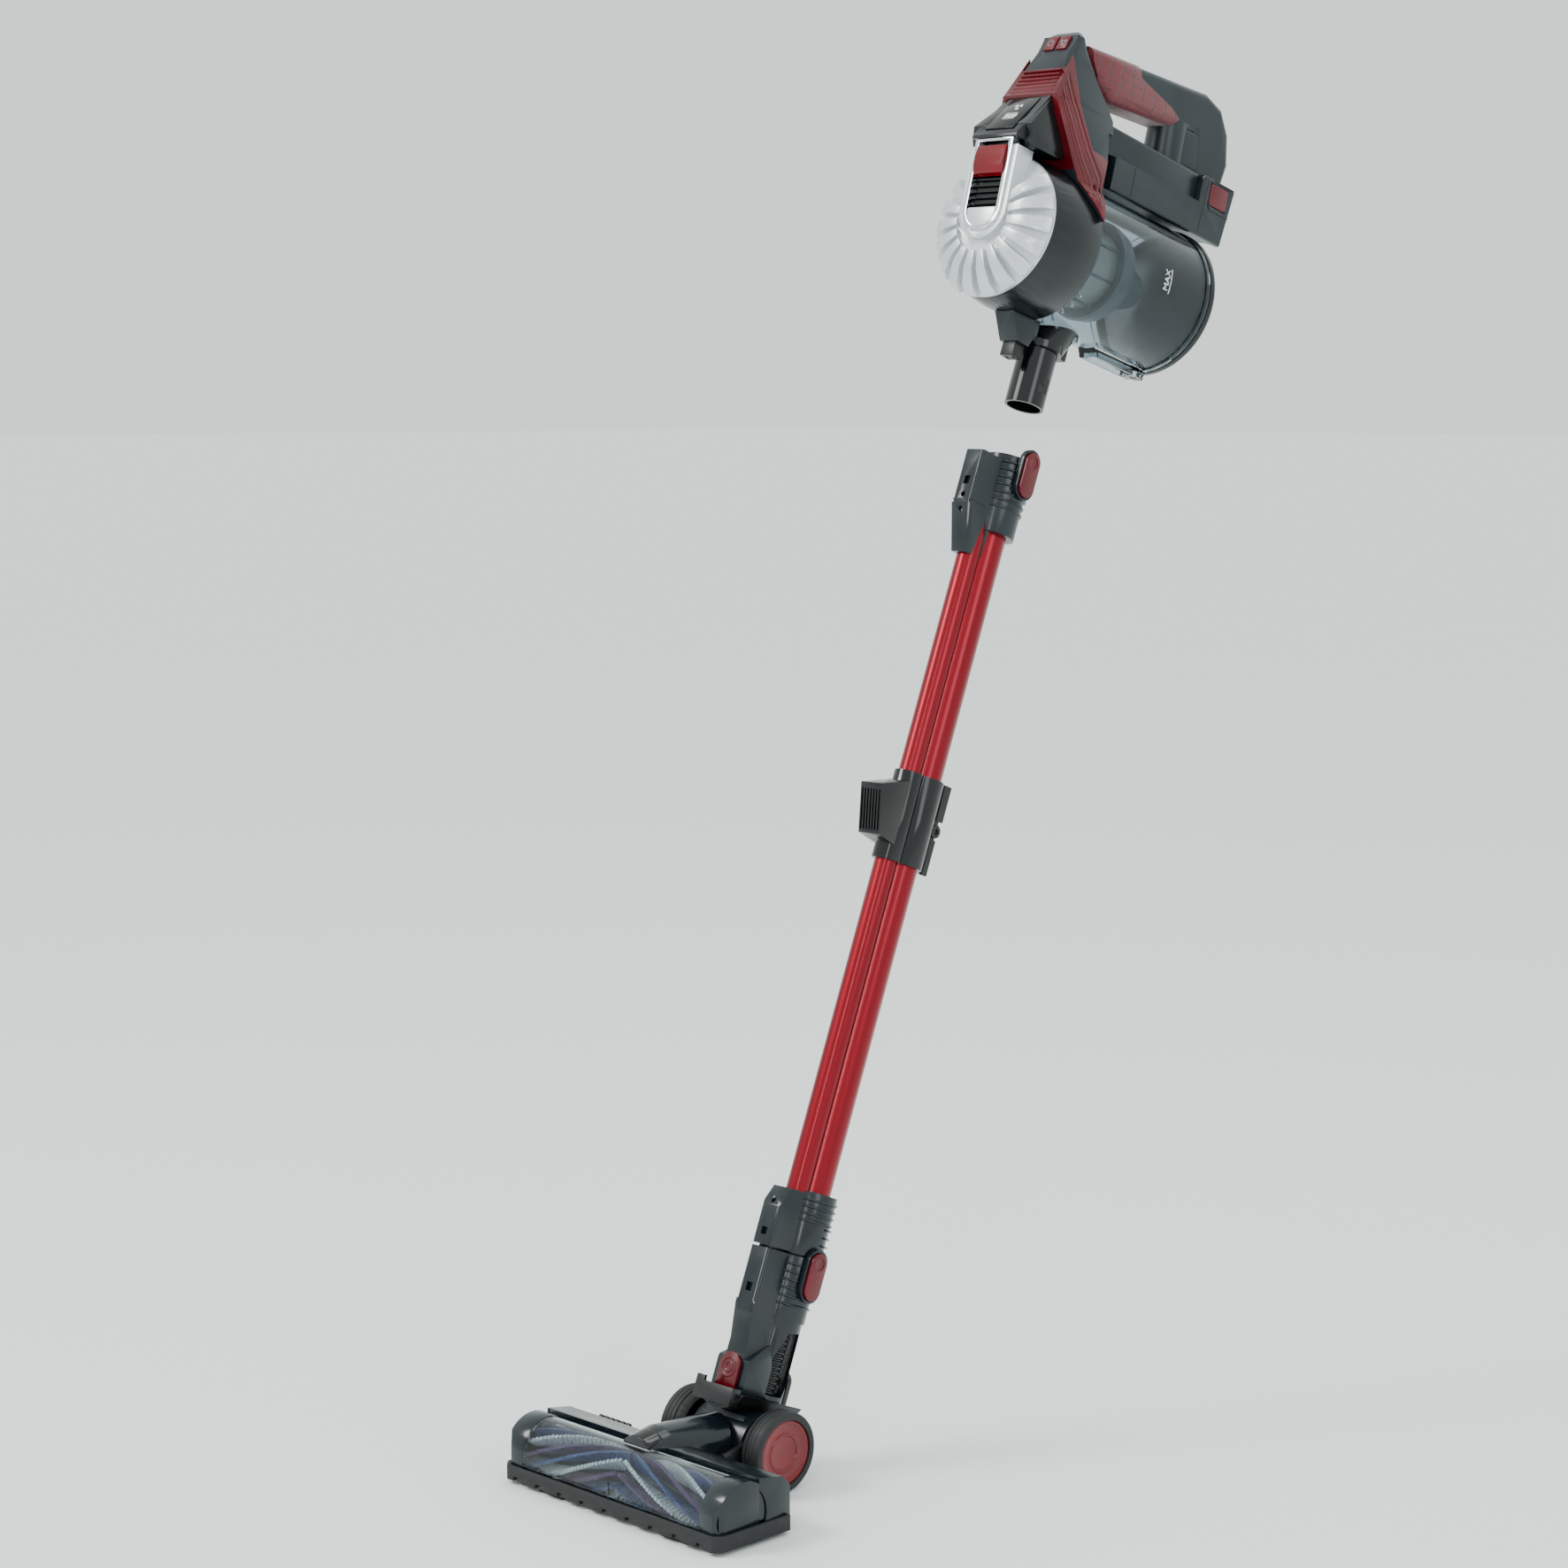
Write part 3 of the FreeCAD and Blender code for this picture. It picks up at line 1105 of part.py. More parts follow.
add("head_chassis", chassis_body, head_frame)
add("head_cover", head_cover(), head_frame)
add("led_lens", led_lens(), head_frame)
add("brush_window", brush_window(), head_frame)
add("end_cap_left", end_cap(-1), head_frame)
add("end_cap_right", end_cap(1), head_frame)
add("front_lip", front_lip(), head_frame)
add("brush_roller", brush_roller(), head_frame)
add("brush_bristles", brush_bristles(), head_frame)
add("brush_bearings", brush_bearings(), head_frame)
add("brush_motor", brush_motor(), head_frame)
add("motor_pulley", motor_pulley(), head_frame)
add("drive_belt", drive_belt(), head_frame)
add("wheel_axle", wheel_axle(), head_frame)
add("tyre_left", tyre(-1), head_frame)
add("tyre_right", tyre(1), head_frame)
add("hub_left", hub(-1), head_frame)
add("hub_right", hub(1), head_frame)

to_row = Placement(V(0, 0, 0) - origin, Rotation())
for name, (shape, frame) in nodes.items():
    placed = shape.copy()
    placed.Placement = to_row.multiply(frame).multiply(placed.Placement)
    placed.exportStep("parts/" + name + ".step")
    print(name, len(placed.Solids), round(placed.Volume / 1000, 2), placed.isValid())
print(len(nodes), "nodes")
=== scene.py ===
import json
import math
import random

import bmesh
import bpy
from mathutils import Matrix, Vector


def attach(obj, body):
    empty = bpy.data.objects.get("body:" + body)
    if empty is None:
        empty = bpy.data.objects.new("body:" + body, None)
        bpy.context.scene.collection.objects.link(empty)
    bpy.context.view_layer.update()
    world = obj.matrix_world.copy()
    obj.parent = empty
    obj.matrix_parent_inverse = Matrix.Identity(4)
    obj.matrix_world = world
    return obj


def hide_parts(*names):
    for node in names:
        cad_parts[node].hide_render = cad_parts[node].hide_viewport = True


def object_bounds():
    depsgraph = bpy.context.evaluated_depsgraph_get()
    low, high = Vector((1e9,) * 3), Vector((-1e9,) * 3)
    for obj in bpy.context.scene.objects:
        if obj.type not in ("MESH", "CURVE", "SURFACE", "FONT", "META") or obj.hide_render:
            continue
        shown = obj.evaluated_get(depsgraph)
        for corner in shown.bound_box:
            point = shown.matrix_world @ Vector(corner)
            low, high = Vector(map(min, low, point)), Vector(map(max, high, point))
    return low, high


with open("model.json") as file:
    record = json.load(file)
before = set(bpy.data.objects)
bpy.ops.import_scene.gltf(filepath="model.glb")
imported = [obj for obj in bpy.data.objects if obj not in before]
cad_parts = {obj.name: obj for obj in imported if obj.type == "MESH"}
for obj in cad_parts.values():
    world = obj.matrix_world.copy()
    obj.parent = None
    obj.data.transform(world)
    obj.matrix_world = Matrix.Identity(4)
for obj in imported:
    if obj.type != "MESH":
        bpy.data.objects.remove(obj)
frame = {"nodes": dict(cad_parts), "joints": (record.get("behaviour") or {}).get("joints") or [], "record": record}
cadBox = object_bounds()
nodes = frame["nodes"]
joints = {joint["name"]: joint for joint in frame["joints"]}
mm = 0.001
crease = math.radians(38)  # edges sharper than this stay sharp in the shading
print("frame loaded:", len(nodes), "CAD nodes")


# the three working frames of the machine, read back from its joints

def axisFrame(origin, backward):
    right = Vector((1, 0, 0))
    backward = Vector(backward).normalized()
    upward = right.cross(backward)
    matrix = Matrix((right, backward, upward)).transposed().to_4x4()
    matrix.translation = Vector(origin)
    return matrix


impellerToBarrel = 44 * mm  # the impeller sits this far in front of the barrel's zero
axleCentre = Vector(joints["wheel_left_roll"]["pos_m"])
floorPoint = Vector((axleCentre.x, axleCentre.y, cadBox[0][2]))
headFrame = Matrix.Translation(floorPoint)
wandFrame = axisFrame(floorPoint, joints["neck_swivel"]["axis"])
handBack = Vector(joints["bin_slide"]["axis"])
handFrame = axisFrame(Vector(joints["impeller_spin"]["pos_m"]) + handBack * impellerToBarrel, handBack)


def clearSelection():
    if bpy.context.object and bpy.context.object.mode != "OBJECT":
        bpy.ops.object.mode_set(mode="OBJECT")
    bpy.ops.object.select_all(action="DESELECT")


def pick(piece):
    clearSelection()
    piece.select_set(True)
    bpy.context.view_layer.objects.active = piece
    return piece


def edit(piece):
    pick(piece)
    bpy.ops.object.mode_set(mode="EDIT")
    bpy.ops.mesh.select_all(action="SELECT")


def leave():
    bpy.ops.object.mode_set(mode="OBJECT")


def applyModifier(piece, kind, settings):
    pick(piece)
    modifier = piece.modifiers.new(kind.title(), kind)
    for key, value in settings.items():
        setattr(modifier, key, value)
    bpy.ops.object.modifier_apply(modifier=modifier.name)


def softenEdges(piece, width, segments=2, angle=32):
    applyModifier(piece, "BEVEL", {"width": width, "segments": segments, "limit_method": "ANGLE",
                                   "angle_limit": math.radians(angle), "use_clamp_overlap": True})
    pick(piece)
    bpy.ops.object.shade_smooth_by_angle(angle=crease)


def settle(piece, matrix):
    pick(piece)
    piece.matrix_world = matrix @ piece.matrix_world
    bpy.ops.object.transform_apply(location=True, rotation=True, scale=True)


def dress(piece, material, body, replaced=()):
    piece.data.materials.clear()
    piece.data.materials.append(material)
    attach(piece, body)
    if replaced:
        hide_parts(*replaced)
    return piece


def joined(pieces, name):
    clearSelection()
    for piece in pieces:
        piece.select_set(True)
    bpy.context.view_layer.objects.active = pieces[0]
    if len(pieces) > 1:
        bpy.ops.object.join()
    pieces[0].name = name
    return pieces[0]


def placed(pieces, name, matrix, material, body, replaced=()):
    piece = joined(pieces, name)
    settle(piece, matrix)
    pick(piece)
    bpy.ops.object.shade_smooth_by_angle(angle=crease)
    return dress(piece, material, body, replaced)


def block(centre, size, turn=(0, 0, 0)):
    clearSelection()
    bpy.ops.mesh.primitive_cube_add(size=1, location=Vector(centre) * mm, rotation=turn)
    piece = bpy.context.active_object
    piece.scale = Vector(size) * mm
    bpy.ops.object.transform_apply(location=True, rotation=True, scale=True)
    return piece


def disc(centre, radius, depth, axis=(0, 0, 1), vertices=48):
    clearSelection()
    turn = Vector((0, 0, 1)).rotation_difference(Vector(axis)).to_euler()
    bpy.ops.mesh.primitive_cylinder_add(vertices=vertices, radius=radius * mm, depth=depth * mm,
                                        location=Vector(centre) * mm, rotation=turn)
    piece = bpy.context.active_object
    bpy.ops.object.transform_apply(location=True, rotation=True, scale=True)
    return piece


def wireAlong(points, radius, closed=False):
    clearSelection()
    bpy.ops.curve.primitive_bezier_curve_add()
    piece = bpy.context.active_object
    piece.data.splines.clear()
    spline = piece.data.splines.new("POLY")
    spline.points.add(len(points) - 1)
    for point, place in zip(spline.points, points):
        point.co = (*(Vector(place) * mm), 1)
    spline.use_cyclic_u = closed
    piece.data.bevel_depth = radius * mm
    piece.data.bevel_resolution = 2
    piece.data.use_fill_caps = not closed
    bpy.ops.object.convert(target="MESH")
    piece = bpy.context.active_object
    bpy.ops.object.shade_smooth()
    return piece


# materials: one node at a time, each pattern counted in mm

def hexToLinear(code):
    parts = [int(code[i:i + 2], 16) / 255 for i in (0, 2, 4)]
    return [c / 12.92 if c <= 0.04045 else ((c + 0.055) / 1.055) ** 2.4 for c in parts] + [1]


def addNode(material, kind, settings=None, links=None):
    node = material.node_tree.nodes.new(kind)
    for key, value in (settings or {}).items():
        if isinstance(key, int) or key in node.inputs:
            node.inputs[key].default_value = value
        else:
            setattr(node, key, value)
    for key, source in (links or {}).items():
        material.node_tree.links.new(source, node.inputs[key])
    return node


def startMaterial(name, look):
    material = bpy.data.materials.new(name)
    material.use_nodes = True
    shader = material.node_tree.nodes["Principled BSDF"]
    for socket, value in look.items():
        shader.inputs[socket].default_value = value
    return material, shader


def patternSpace(material, space, sizes):
    # object coordinates, turned to one of the machine's frames and counted in pattern sizes given in mm
    place = addNode(material, "ShaderNodeTexCoord").outputs["Object"]
    turn = addNode(material, "ShaderNodeMapping", {"vector_type": "TEXTURE", "Location": space.translation,
                   "Rotation": space.to_euler(), "Scale": Vector(sizes) * mm}, {"Vector": place})
    return turn.outputs["Vector"]


def noise(material, where, detail=3):
    return addNode(material, "ShaderNodeTexNoise", {"Scale": 1, "Detail": detail}, {"Vector": where}).outputs["Fac"]


def ramp(material, factor, stops):
    node = addNode(material, "ShaderNodeValToRGB", {}, {"Fac": factor})
    elements = node.color_ramp.elements
    while len(elements) < len(stops):
        elements.new(0.5)
    for element, (position, code) in zip(elements, stops):
        element.position = position
        element.color = hexToLinear(code)
    return node.outputs["Color"]


def spread(material, factor, low, high):
    return addNode(material, "ShaderNodeMapRange", {"From Min": 0.3, "From Max": 0.7, "To Min": low, "To Max": high},
                   {"Value": factor}).outputs["Result"]


def relief(material, shader, height, strength, depth):
    # depth is the real height of the relief in mm
    bump = addNode(material, "ShaderNodeBump", {"Strength": strength, "Distance": depth * mm}, {"Height": height})
    material.node_tree.links.new(bump.outputs["Normal"], shader.inputs["Normal"])


def link(material, source, shader, socket):
    material.node_tree.links.new(source, shader.inputs[socket])


def mouldedPlastic(name, dark, light, rough, grain, depth, space=handFrame):
    # ABS from a spark-eroded mould: satin, with a faint cloudy change of tone and a fine pebbled skin
    material, shader = startMaterial(name, {"IOR": 1.46, "Coat Weight": 0.05, "Coat Roughness": 0.25})
    clouds = noise(material, patternSpace(material, space, (38, 38, 38)), 2)
    link(material, ramp(material, clouds, [(0.25, dark), (0.75, light)]), shader, "Base Color")
    link(material, spread(material, clouds, rough - 0.05, rough + 0.06), shader, "Roughness")
    relief(material, shader, noise(material, patternSpace(material, space, (grain, grain, grain)), 2), 0.35, depth)
    return material


def anodisedAluminium(name, dark, light):
    # drawn tube, dyed red under clear oxide: long faint die lines and a soft metallic sheen
    material, shader = startMaterial(name, {"Metallic": 0.88, "Coat Weight": 0.35, "Coat Roughness": 0.12})
    lines = noise(material, patternSpace(material, wandFrame, (0.9, 0.9, 260)), 4)
    link(material, ramp(material, lines, [(0.2, dark), (0.8, light)]), shader, "Base Color")
    link(material, spread(material, lines, 0.26, 0.36), shader, "Roughness")
    relief(material, shader, lines, 0.12, 0.02)
    return material


def platedChrome(name):
    # bright chrome on plastic: mirror-like, with slight orange-peel waviness of the moulding under it
    material, shader = startMaterial(name, {"Base Color": hexToLinear("dfe3e6"), "Metallic": 1.0})
    waves = noise(material, patternSpace(material, handFrame, (9, 9, 9)), 2)
    link(material, spread(material, waves, 0.05, 0.1), shader, "Roughness")
    relief(material, shader, waves, 0.15, 0.05)
    return material


def metallicPaint(name):
    # silver basecoat with fine flake, larger here than life so that it shows, under a satin lacquer
    material, shader = startMaterial(name, {"Metallic": 0.55, "Coat Weight": 0.4, "Coat Roughness": 0.18})
    flake = noise(material, patternSpace(material, handFrame, (0.5, 0.5, 0.5)), 2)
    link(material, ramp(material, flake, [(0.3, "b4babd"), (0.7, "dfe3e4")]), shader, "Base Color")
    link(material, spread(material, flake, 0.28, 0.4), shader, "Roughness")
    relief(material, shader, flake, 0.05, 0.01)
    return material


def clearPlastic(name, tint, rough):
    # injection-moulded polycarbonate: smoky or clear, with slight flow waviness and handling haze;
    # the IOR is set lower than polycarbonate's real 1.58
    material, shader = startMaterial(name, {"Base Color": hexToLinear(tint), "Transmission Weight": 1.0, "IOR": 1.3})
    haze = noise(material, patternSpace(material, handFrame, (24, 24, 24)), 3)
    link(material, spread(material, haze, rough, rough + 0.05), shader, "Roughness")
    relief(material, shader, haze, 0.08, 0.1)
    return material


def gripElastomer(name):
    # overmoulded TPE sleeve: matte crimson skin, hide-like pebbling and a net of engraved lines about 10 mm apart;
    # the lines are coloured darker than the skin, which is painted shade in the grooves
    material, shader = startMaterial(name, {"IOR": 1.48, "Sheen Weight": 0.25, "Sheen Roughness": 0.5})
    clouds = noise(material, patternSpace(material, handFrame, (12, 12, 12)), 3)
    link(material, spread(material, clouds, 0.42, 0.55), shader, "Roughness")
    pebbles = noise(material, patternSpace(material, handFrame, (1.3, 1.3, 1.3)), 2)
    net = addNode(material, "ShaderNodeTexVoronoi", {"feature": "DISTANCE_TO_EDGE", "Scale": 1.0, "Randomness": 0.22},
                  {"Vector": patternSpace(material, handFrame, (60, 15, 7))}).outputs["Distance"]
    # the ramp darkens the skin along the engraved lines: painted shade in the grooves
    link(material, ramp(material, net, [(0.01, "200006"), (0.05, "600014")]), shader, "Base Color")
    groove = addNode(material, "ShaderNodeMapRange", {"From Min": 0.0, "From Max": 0.05, "To Min": 0.0,
                     "To Max": 1.0}, {"Value": net}).outputs["Result"]
    height = addNode(material, "ShaderNodeMath", {"operation": "MULTIPLY_ADD", 1: 0.25}, {0: pebbles, 2: groove})
    relief(material, shader, height.outputs["Value"], 0.8, 0.35)
    return material


def rubberSkin(name, dark, light):
    # soft vulcanised rubber: nearly black, dull, with dust-grey scuffing
    material, shader = startMaterial(name, {"IOR": 1.5})
    scuffs = noise(material, patternSpace(material, headFrame, (5, 5, 5)), 5)
    link(material, ramp(material, scuffs, [(0.35, dark), (0.75, light)]), shader, "Base Color")
    link(material, spread(material, scuffs, 0.55, 0.75), shader, "Roughness")
    relief(material, shader, scuffs, 0.3, 0.15)
    return material


def turnedMetal(name, dark, light, rough):
    # machined or cast metal inside the machine, with faint tool marks
    material, shader = startMaterial(name, {"Metallic": 1.0})
    marks = noise(material, patternSpace(material, handFrame, (0.6, 8, 0.6)), 3)
    link(material, ramp(material, marks, [(0.3, dark), (0.7, light)]), shader, "Base Color")
    link(material, spread(material, marks, rough, rough + 0.12), shader, "Roughness")
    relief(material, shader, marks, 0.15, 0.03)
    return material


def wovenMesh(name):
    # stainless filter cloth: threads 0.9 mm apart, coarser than life so that they show
    material, shader = startMaterial(name, {"Metallic": 0.75})
    where = patternSpace(material, handFrame, (0.9, 0.9, 0.9))
    rows = addNode(material, "ShaderNodeTexWave", {"wave_profile": "SIN", "bands_direction": "Y", "Scale": 0.3},
                   {"Vector": where}).outputs["Fac"]
    columns = addNode(material, "ShaderNodeTexWave", {"wave_profile": "SIN", "bands_direction": "DIAGONAL",
                      "Scale": 0.3}, {"Vector": where}).outputs["Fac"]
    weave = addNode(material, "ShaderNodeMath", {"operation": "MULTIPLY"}, {0: rows, 1: columns}).outputs["Value"]
    link(material, ramp(material, weave, [(0.0, "7d7f79"), (0.6, "d6d5c8")]), shader, "Base Color")
    link(material, spread(material, weave, 0.4, 0.55), shader, "Roughness")
    relief(material, shader, weave, 0.5, 0.1)
    return material


def nylonTufts(name, dark, light):
    # drawn nylon filament, seen end-on and side-on as fine streaks along each tuft
    material, shader = startMaterial(name, {"IOR": 1.53, "Sheen Weight": 0.3})
    streaks = noise(material, patternSpace(material, headFrame, (0.8, 3, 3)), 4)
    link(material, ramp(material, streaks, [(0.3, dark), (0.7, light)]), shader, "Base Color")
    link(material, spread(material, streaks, 0.4, 0.6), shader, "Roughness")
    relief(material, shader, streaks, 0.6, 0.4)
    return material


def screenPrint(name, code):
    # pad-printed ink: flat and matte, a few hundredths of a mm thick, with pinholes
    material, shader = startMaterial(name, {"Base Color": hexToLinear(code), "IOR": 1.45})
    pores = noise(material, patternSpace(material, handFrame, (1.5, 1.5, 1.5)), 2)
    link(material, spread(material, pores, 0.45, 0.6), shader, "Roughness")
    return material


slateAbs = mouldedPlastic("slate moulded ABS", "0d151a", "142026", 0.32, 1.1, 0.03)
slateGlossAbs = mouldedPlastic("polished slate ABS", "0a1217", "111c22", 0.2, 3.5, 0.02)
casingAbs = mouldedPlastic("near-black slate ABS", "05080a", "0a0f13", 0.24, 3.0, 0.02)
inlayAbs = mouldedPlastic("light slate inlay ABS", "1c272d", "27343b", 0.26, 2.0, 0.02, headFrame)
blackAbs = mouldedPlastic("black moulded ABS", "08090a", "101214", 0.38, 1.1, 0.03)
blackGlossAbs = mouldedPlastic("polished black ABS", "050607", "0b0d0f", 0.12, 4.0, 0.015)
crimsonAbs = mouldedPlastic("crimson moulded ABS", "4c000b", "660013", 0.28, 1.3, 0.03)
crimsonGlossAbs = mouldedPlastic("polished crimson ABS", "5c000a", "780012", 0.14, 4.0, 0.015)
silverPaint = metallicPaint("silver lacquered ABS")
chrome = platedChrome("bright chrome plating")
redAnodised = anodisedAluminium("red anodised aluminium", "6e0012", "94001c")
smokyClear = clearPlastic("smoky polycarbonate", "c4cfd6", 0.02)
windowClear = clearPlastic("clear polycarbonate", "dde6ea", 0.03)
crimsonGrip = gripElastomer("crimson grip elastomer")
tyreRubber = rubberSkin("tyre rubber", "0f1011", "1e2022")
bumperRubber = rubberSkin("soft bumper rubber", "0c0d0e", "181a1b")
steel = turnedMetal("turned steel", "8f9396", "b4b8ba", 0.25)
castMetal = turnedMetal("cast aluminium", "7c8184", "9ea3a6", 0.4)
filterMesh = wovenMesh("woven steel mesh")
greyShroud = mouldedPlastic("grey shroud ABS", "555c5f", "6b7376", 0.4, 1.4, 0.03)
whiteTufts = nylonTufts("white nylon tufts", "a9b0b5", "dfe4e6")
blueTufts = nylonTufts("blue nylon tufts", "1d2c58", "31508f")
purpleTufts = nylonTufts("purple felt strip", "3a1b47", "5a2c68")
whiteInk = screenPrint("white printing ink", "e8ecee")
greyInk = screenPrint("grey printing ink", "6f7c83")
boardLaminate = mouldedPlastic("green board laminate", "174a31", "22613f", 0.3, 2.0, 0.02)
print("materials made:", len(bpy.data.materials))


# pieces that keep their CAD shape: finished copies with softened edges

def bareCopy(node):
    pick(nodes[node])
    bpy.ops.object.duplicate()
    piece = bpy.context.active_object
    for key in [k for k in piece.keys() if k.startswith("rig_")]:
        del piece[key]
    piece.parent = None
    return piece


def finishedCopy(node, body, material, edge):
    piece = bareCopy(node)
    piece.matrix_world = Matrix.Identity(4)
    edit(piece)
    bpy.ops.mesh.remove_doubles(threshold=weld * mm)
    bpy.ops.mesh.dissolve_limited(angle_limit=math.radians(1), use_dissolve_boundaries=False)
    leave()
    softenEdges(piece, edge * mm)
    piece.name = node + "_shell"
    return dress(piece, material, body, (node,))


weld = 0.004  # mm; the CAD's loose triangles are joined below this
bodies = frame["record"]["behaviour"]["bodies"]
bodyOf = {node: body for body, members in bodies.items() for node in members}

# node: material and edge radius in mm
shellLooks = {
    "motor_casing": (casingAbs, 0.6), "front_cover": (silverPaint, 0.5), "chrome_bezel": (chrome, 0.9),
    "cover_latch": (crimsonGlossAbs, 0.5), "display_housing": (casingAbs, 1.0), "display_glass": (blackGlossAbs, 0.3),
    "lower_arm": (slateAbs, 0.8), "handle_shell": (slateAbs, 0.8), "grip_cover": (crimsonGrip, 0.5),
    "battery_case": (slateAbs, 0.8), "battery_button_left": (crimsonAbs, 0.8),
    "battery_button_right": (crimsonAbs, 0.8), "power_button": (crimsonAbs, 0.5), "boost_button": (crimsonAbs, 0.5),
    "bin_lid": (blackGlossAbs, 0.8), "lid_catch": (blackAbs, 0.2), "nozzle_bracket": (slateGlossAbs, 0.7),
    "nozzle_plug": (blackAbs, 0.5), "upper_coupling": (slateGlossAbs, 0.5), "lower_coupling": (slateGlossAbs, 0.5),
    "neck_housing": (slateGlossAbs, 0.5),
    "upper_release_button": (crimsonAbs, 0.6), "lower_release_button": (crimsonAbs, 0.6),
    "accessory_holder": (blackGlossAbs, 0.5), "holder_clamp": (blackAbs, 0.4), "pivot_cap": (crimsonAbs, 0.5),
    "swivel_cradle": (blackAbs, 0.5), "yoke_hub": (slateAbs, 0.8), "head_chassis": (blackAbs, 0.6),
    "head_cover": (slateGlossAbs, 1.0), "led_lens": (blackGlossAbs, 0.3), "end_cap_left": (slateGlossAbs, 0.9),
    "end_cap_right": (slateGlossAbs, 0.9), "front_lip": (bumperRubber, 0.4), "tyre_left": (tyreRubber, 0.5),
    "tyre_right": (tyreRubber, 0.5), "hub_left": (crimsonGlossAbs, 0.3), "hub_right": (crimsonGlossAbs, 0.3),
}
for node, (material, edge) in shellLooks.items():
    finishedCopy(node, bodyOf[node], material, edge)
print("finished shells:", len(shellLooks))


# the arch's two halves as one rounded shell, and the ribbed band over it

def handCopy(node):
    piece = bareCopy(node)
    settle(piece, handFrame.inverted())
    return piece


def roundCorners(piece, width, lowest, clamp):
    # rounds the long corners between the flanks and the front, top and rear faces
    edit(piece)
    bpy.ops.mesh.remove_doubles(threshold=0.01 * mm)
    bpy.ops.mesh.dissolve_limited(angle_limit=math.radians(2))
    bpy.ops.mesh.select_all(action="DESELECT")
    solid = bmesh.from_edit_mesh(piece.data)
    for edge in solid.edges:
        ends = [v.co / mm for v in edge.verts]
        away = min(abs(e.x) for e in ends) > 13.5 and abs(ends[0].x - ends[1].x) < 9
        if len(edge.link_faces) != 2 or not away or min(e.z for e in ends) < lowest:
            continue
        faces = [f.normal for f in edge.link_faces]
        sideways = max(abs(n.x) for n in faces) > 0.8 and min(abs(n.x) for n in faces) < 0.5
        outward = all(n.x * ends[0].x > -0.2 for n in faces)
        if sideways and outward and (ends[0] - ends[1]).length > 3 and edge.is_convex:
            edge.select = True
    bmesh.update_edit_mesh(piece.data)
    bpy.ops.mesh.bevel(offset=width * mm, segments=5, clamp_overlap=clamp)
    leave()


halves = []
for node in ("arch_shell_left", "arch_shell_right"):
    half = handCopy(node)
    edit(half)
    bpy.ops.mesh.select_all(action="DESELECT")
    solid = bmesh.from_edit_mesh(half.data)
    for face in solid.faces:
        face.select = all(abs(v.co.x) < 0.02 * mm for v in face.verts)
    bmesh.update_edit_mesh(half.data)
    bpy.ops.mesh.delete(type="FACE")
    leave()
    halves.append(half)
arch = joined(halves, "arch_shell")
roundCorners(arch, 6, 120, False)
softenEdges(arch, 0.4 * mm)
placed([arch], "arch_shell", handFrame, slateAbs, "hand_unit",
       ("arch_shell_left", "arch_shell_right"))

band = handCopy("ribbed_band")
roundCorners(band, 2, 112, True)
softenEdges(band, 0.3 * mm)
bandParts = [band]
ribs = {  # y, z of the band's two borders down the flank, and how many ribs of what radius lie between them
    "front": [(-78, 115), (-68, 86), (-57, 57), (-46, 38), (-33, 21)],
    "rear": [(-66, 140), (-50, 116), (-34, 83), (-20, 62), (-31, 23)],
    "count": 6, "radius": 0.9,
}


def bandSkin(z):
    # half the band's outer width at height z: the arch's flank, or the round casing where that is wider
    shoulder = 45 - max(0, z - 52) * 18 / 63 if z < 115 else 27 - (z - 115) * 4 / 35
    around = math.sqrt(max(0, 66 ** 2 - z * z)) if z < 66 else 0
    return max(shoulder, around) + 1.1


for step in range(ribs["count"]):
    share = (step + 0.5) / ribs["count"]
    flank = []
    for (fy, fz), (ry, rz) in zip(ribs["front"], ribs["rear"]):
        y, z = fy + (ry - fy) * share, fz + (rz - fz) * share
        flank.append((y, z))
    fine = []
    for (y0, z0), (y1, z1) in zip(flank, flank[1:]):
        fine += [(y0 + (y1 - y0) * k / 4, z0 + (z1 - z0) * k / 4) for k in range(4)]
    fine.append(flank[-1])
    right = [(bandSkin(z), y, z) for y, z in fine]
    corner = (bandSkin(fine[0][1]) - 5, -61 - (158 - fine[0][1]) * 17 / 44 - 1, fine[0][1])
    right[0] = (right[0][0] - 0.8, corner[1] + 5, right[0][2])
    for side in (-1, 1):
        bandParts.append(wireAlong([(side * x, y, z) for x, y, z in right], ribs["radius"]))
    reach, y, z = corner
    bandParts.append(wireAlong([(-reach, y, z), (reach, y, z)], ribs["radius"]))
placed(bandParts, "ribbed_band_shell", handFrame, crimsonAbs, "hand_unit", ("ribbed_band",))
print("arch and band made")

# the web that joins the round boss to the rear column
columnWeb = {"centre": (0, 124, 133.6), "size": (31.4, 52, 35), "edge": 5}
web = block(columnWeb["centre"], columnWeb["size"])
softenEdges(web, columnWeb["edge"] * mm, 4)
placed([web], "column_web", handFrame, slateAbs, "hand_unit")

# inner and already-round nodes only take their material
plainLooks = {
    "suction_motor": castMetal, "impeller": blackAbs, "control_board": boardLaminate, "battery_cells": castMetal,
    "cyclone_body": greyShroud, "cyclone_mesh": filterMesh, "wand_tube": redAnodised, "wand_cable": blackAbs,
    "neck_hose": blackAbs, "brush_roller": blackAbs, "brush_bearings": steel,
    "brush_motor": castMetal, "motor_pulley": steel, "drive_belt": tyreRubber, "wheel_axle": steel,
    "bin_shell": smokyClear, "brush_window": windowClear, "nozzle_elbow": blackGlossAbs,
}
for node, material in plainLooks.items():
    nodes[node].data.materials.clear()
    nodes[node].data.materials.append(material)
    pick(nodes[node])
    bpy.ops.object.shade_smooth_by_angle(angle=crease)
print("plain nodes:", len(plainLooks))


# pieces modelled here, in mm of each working frame

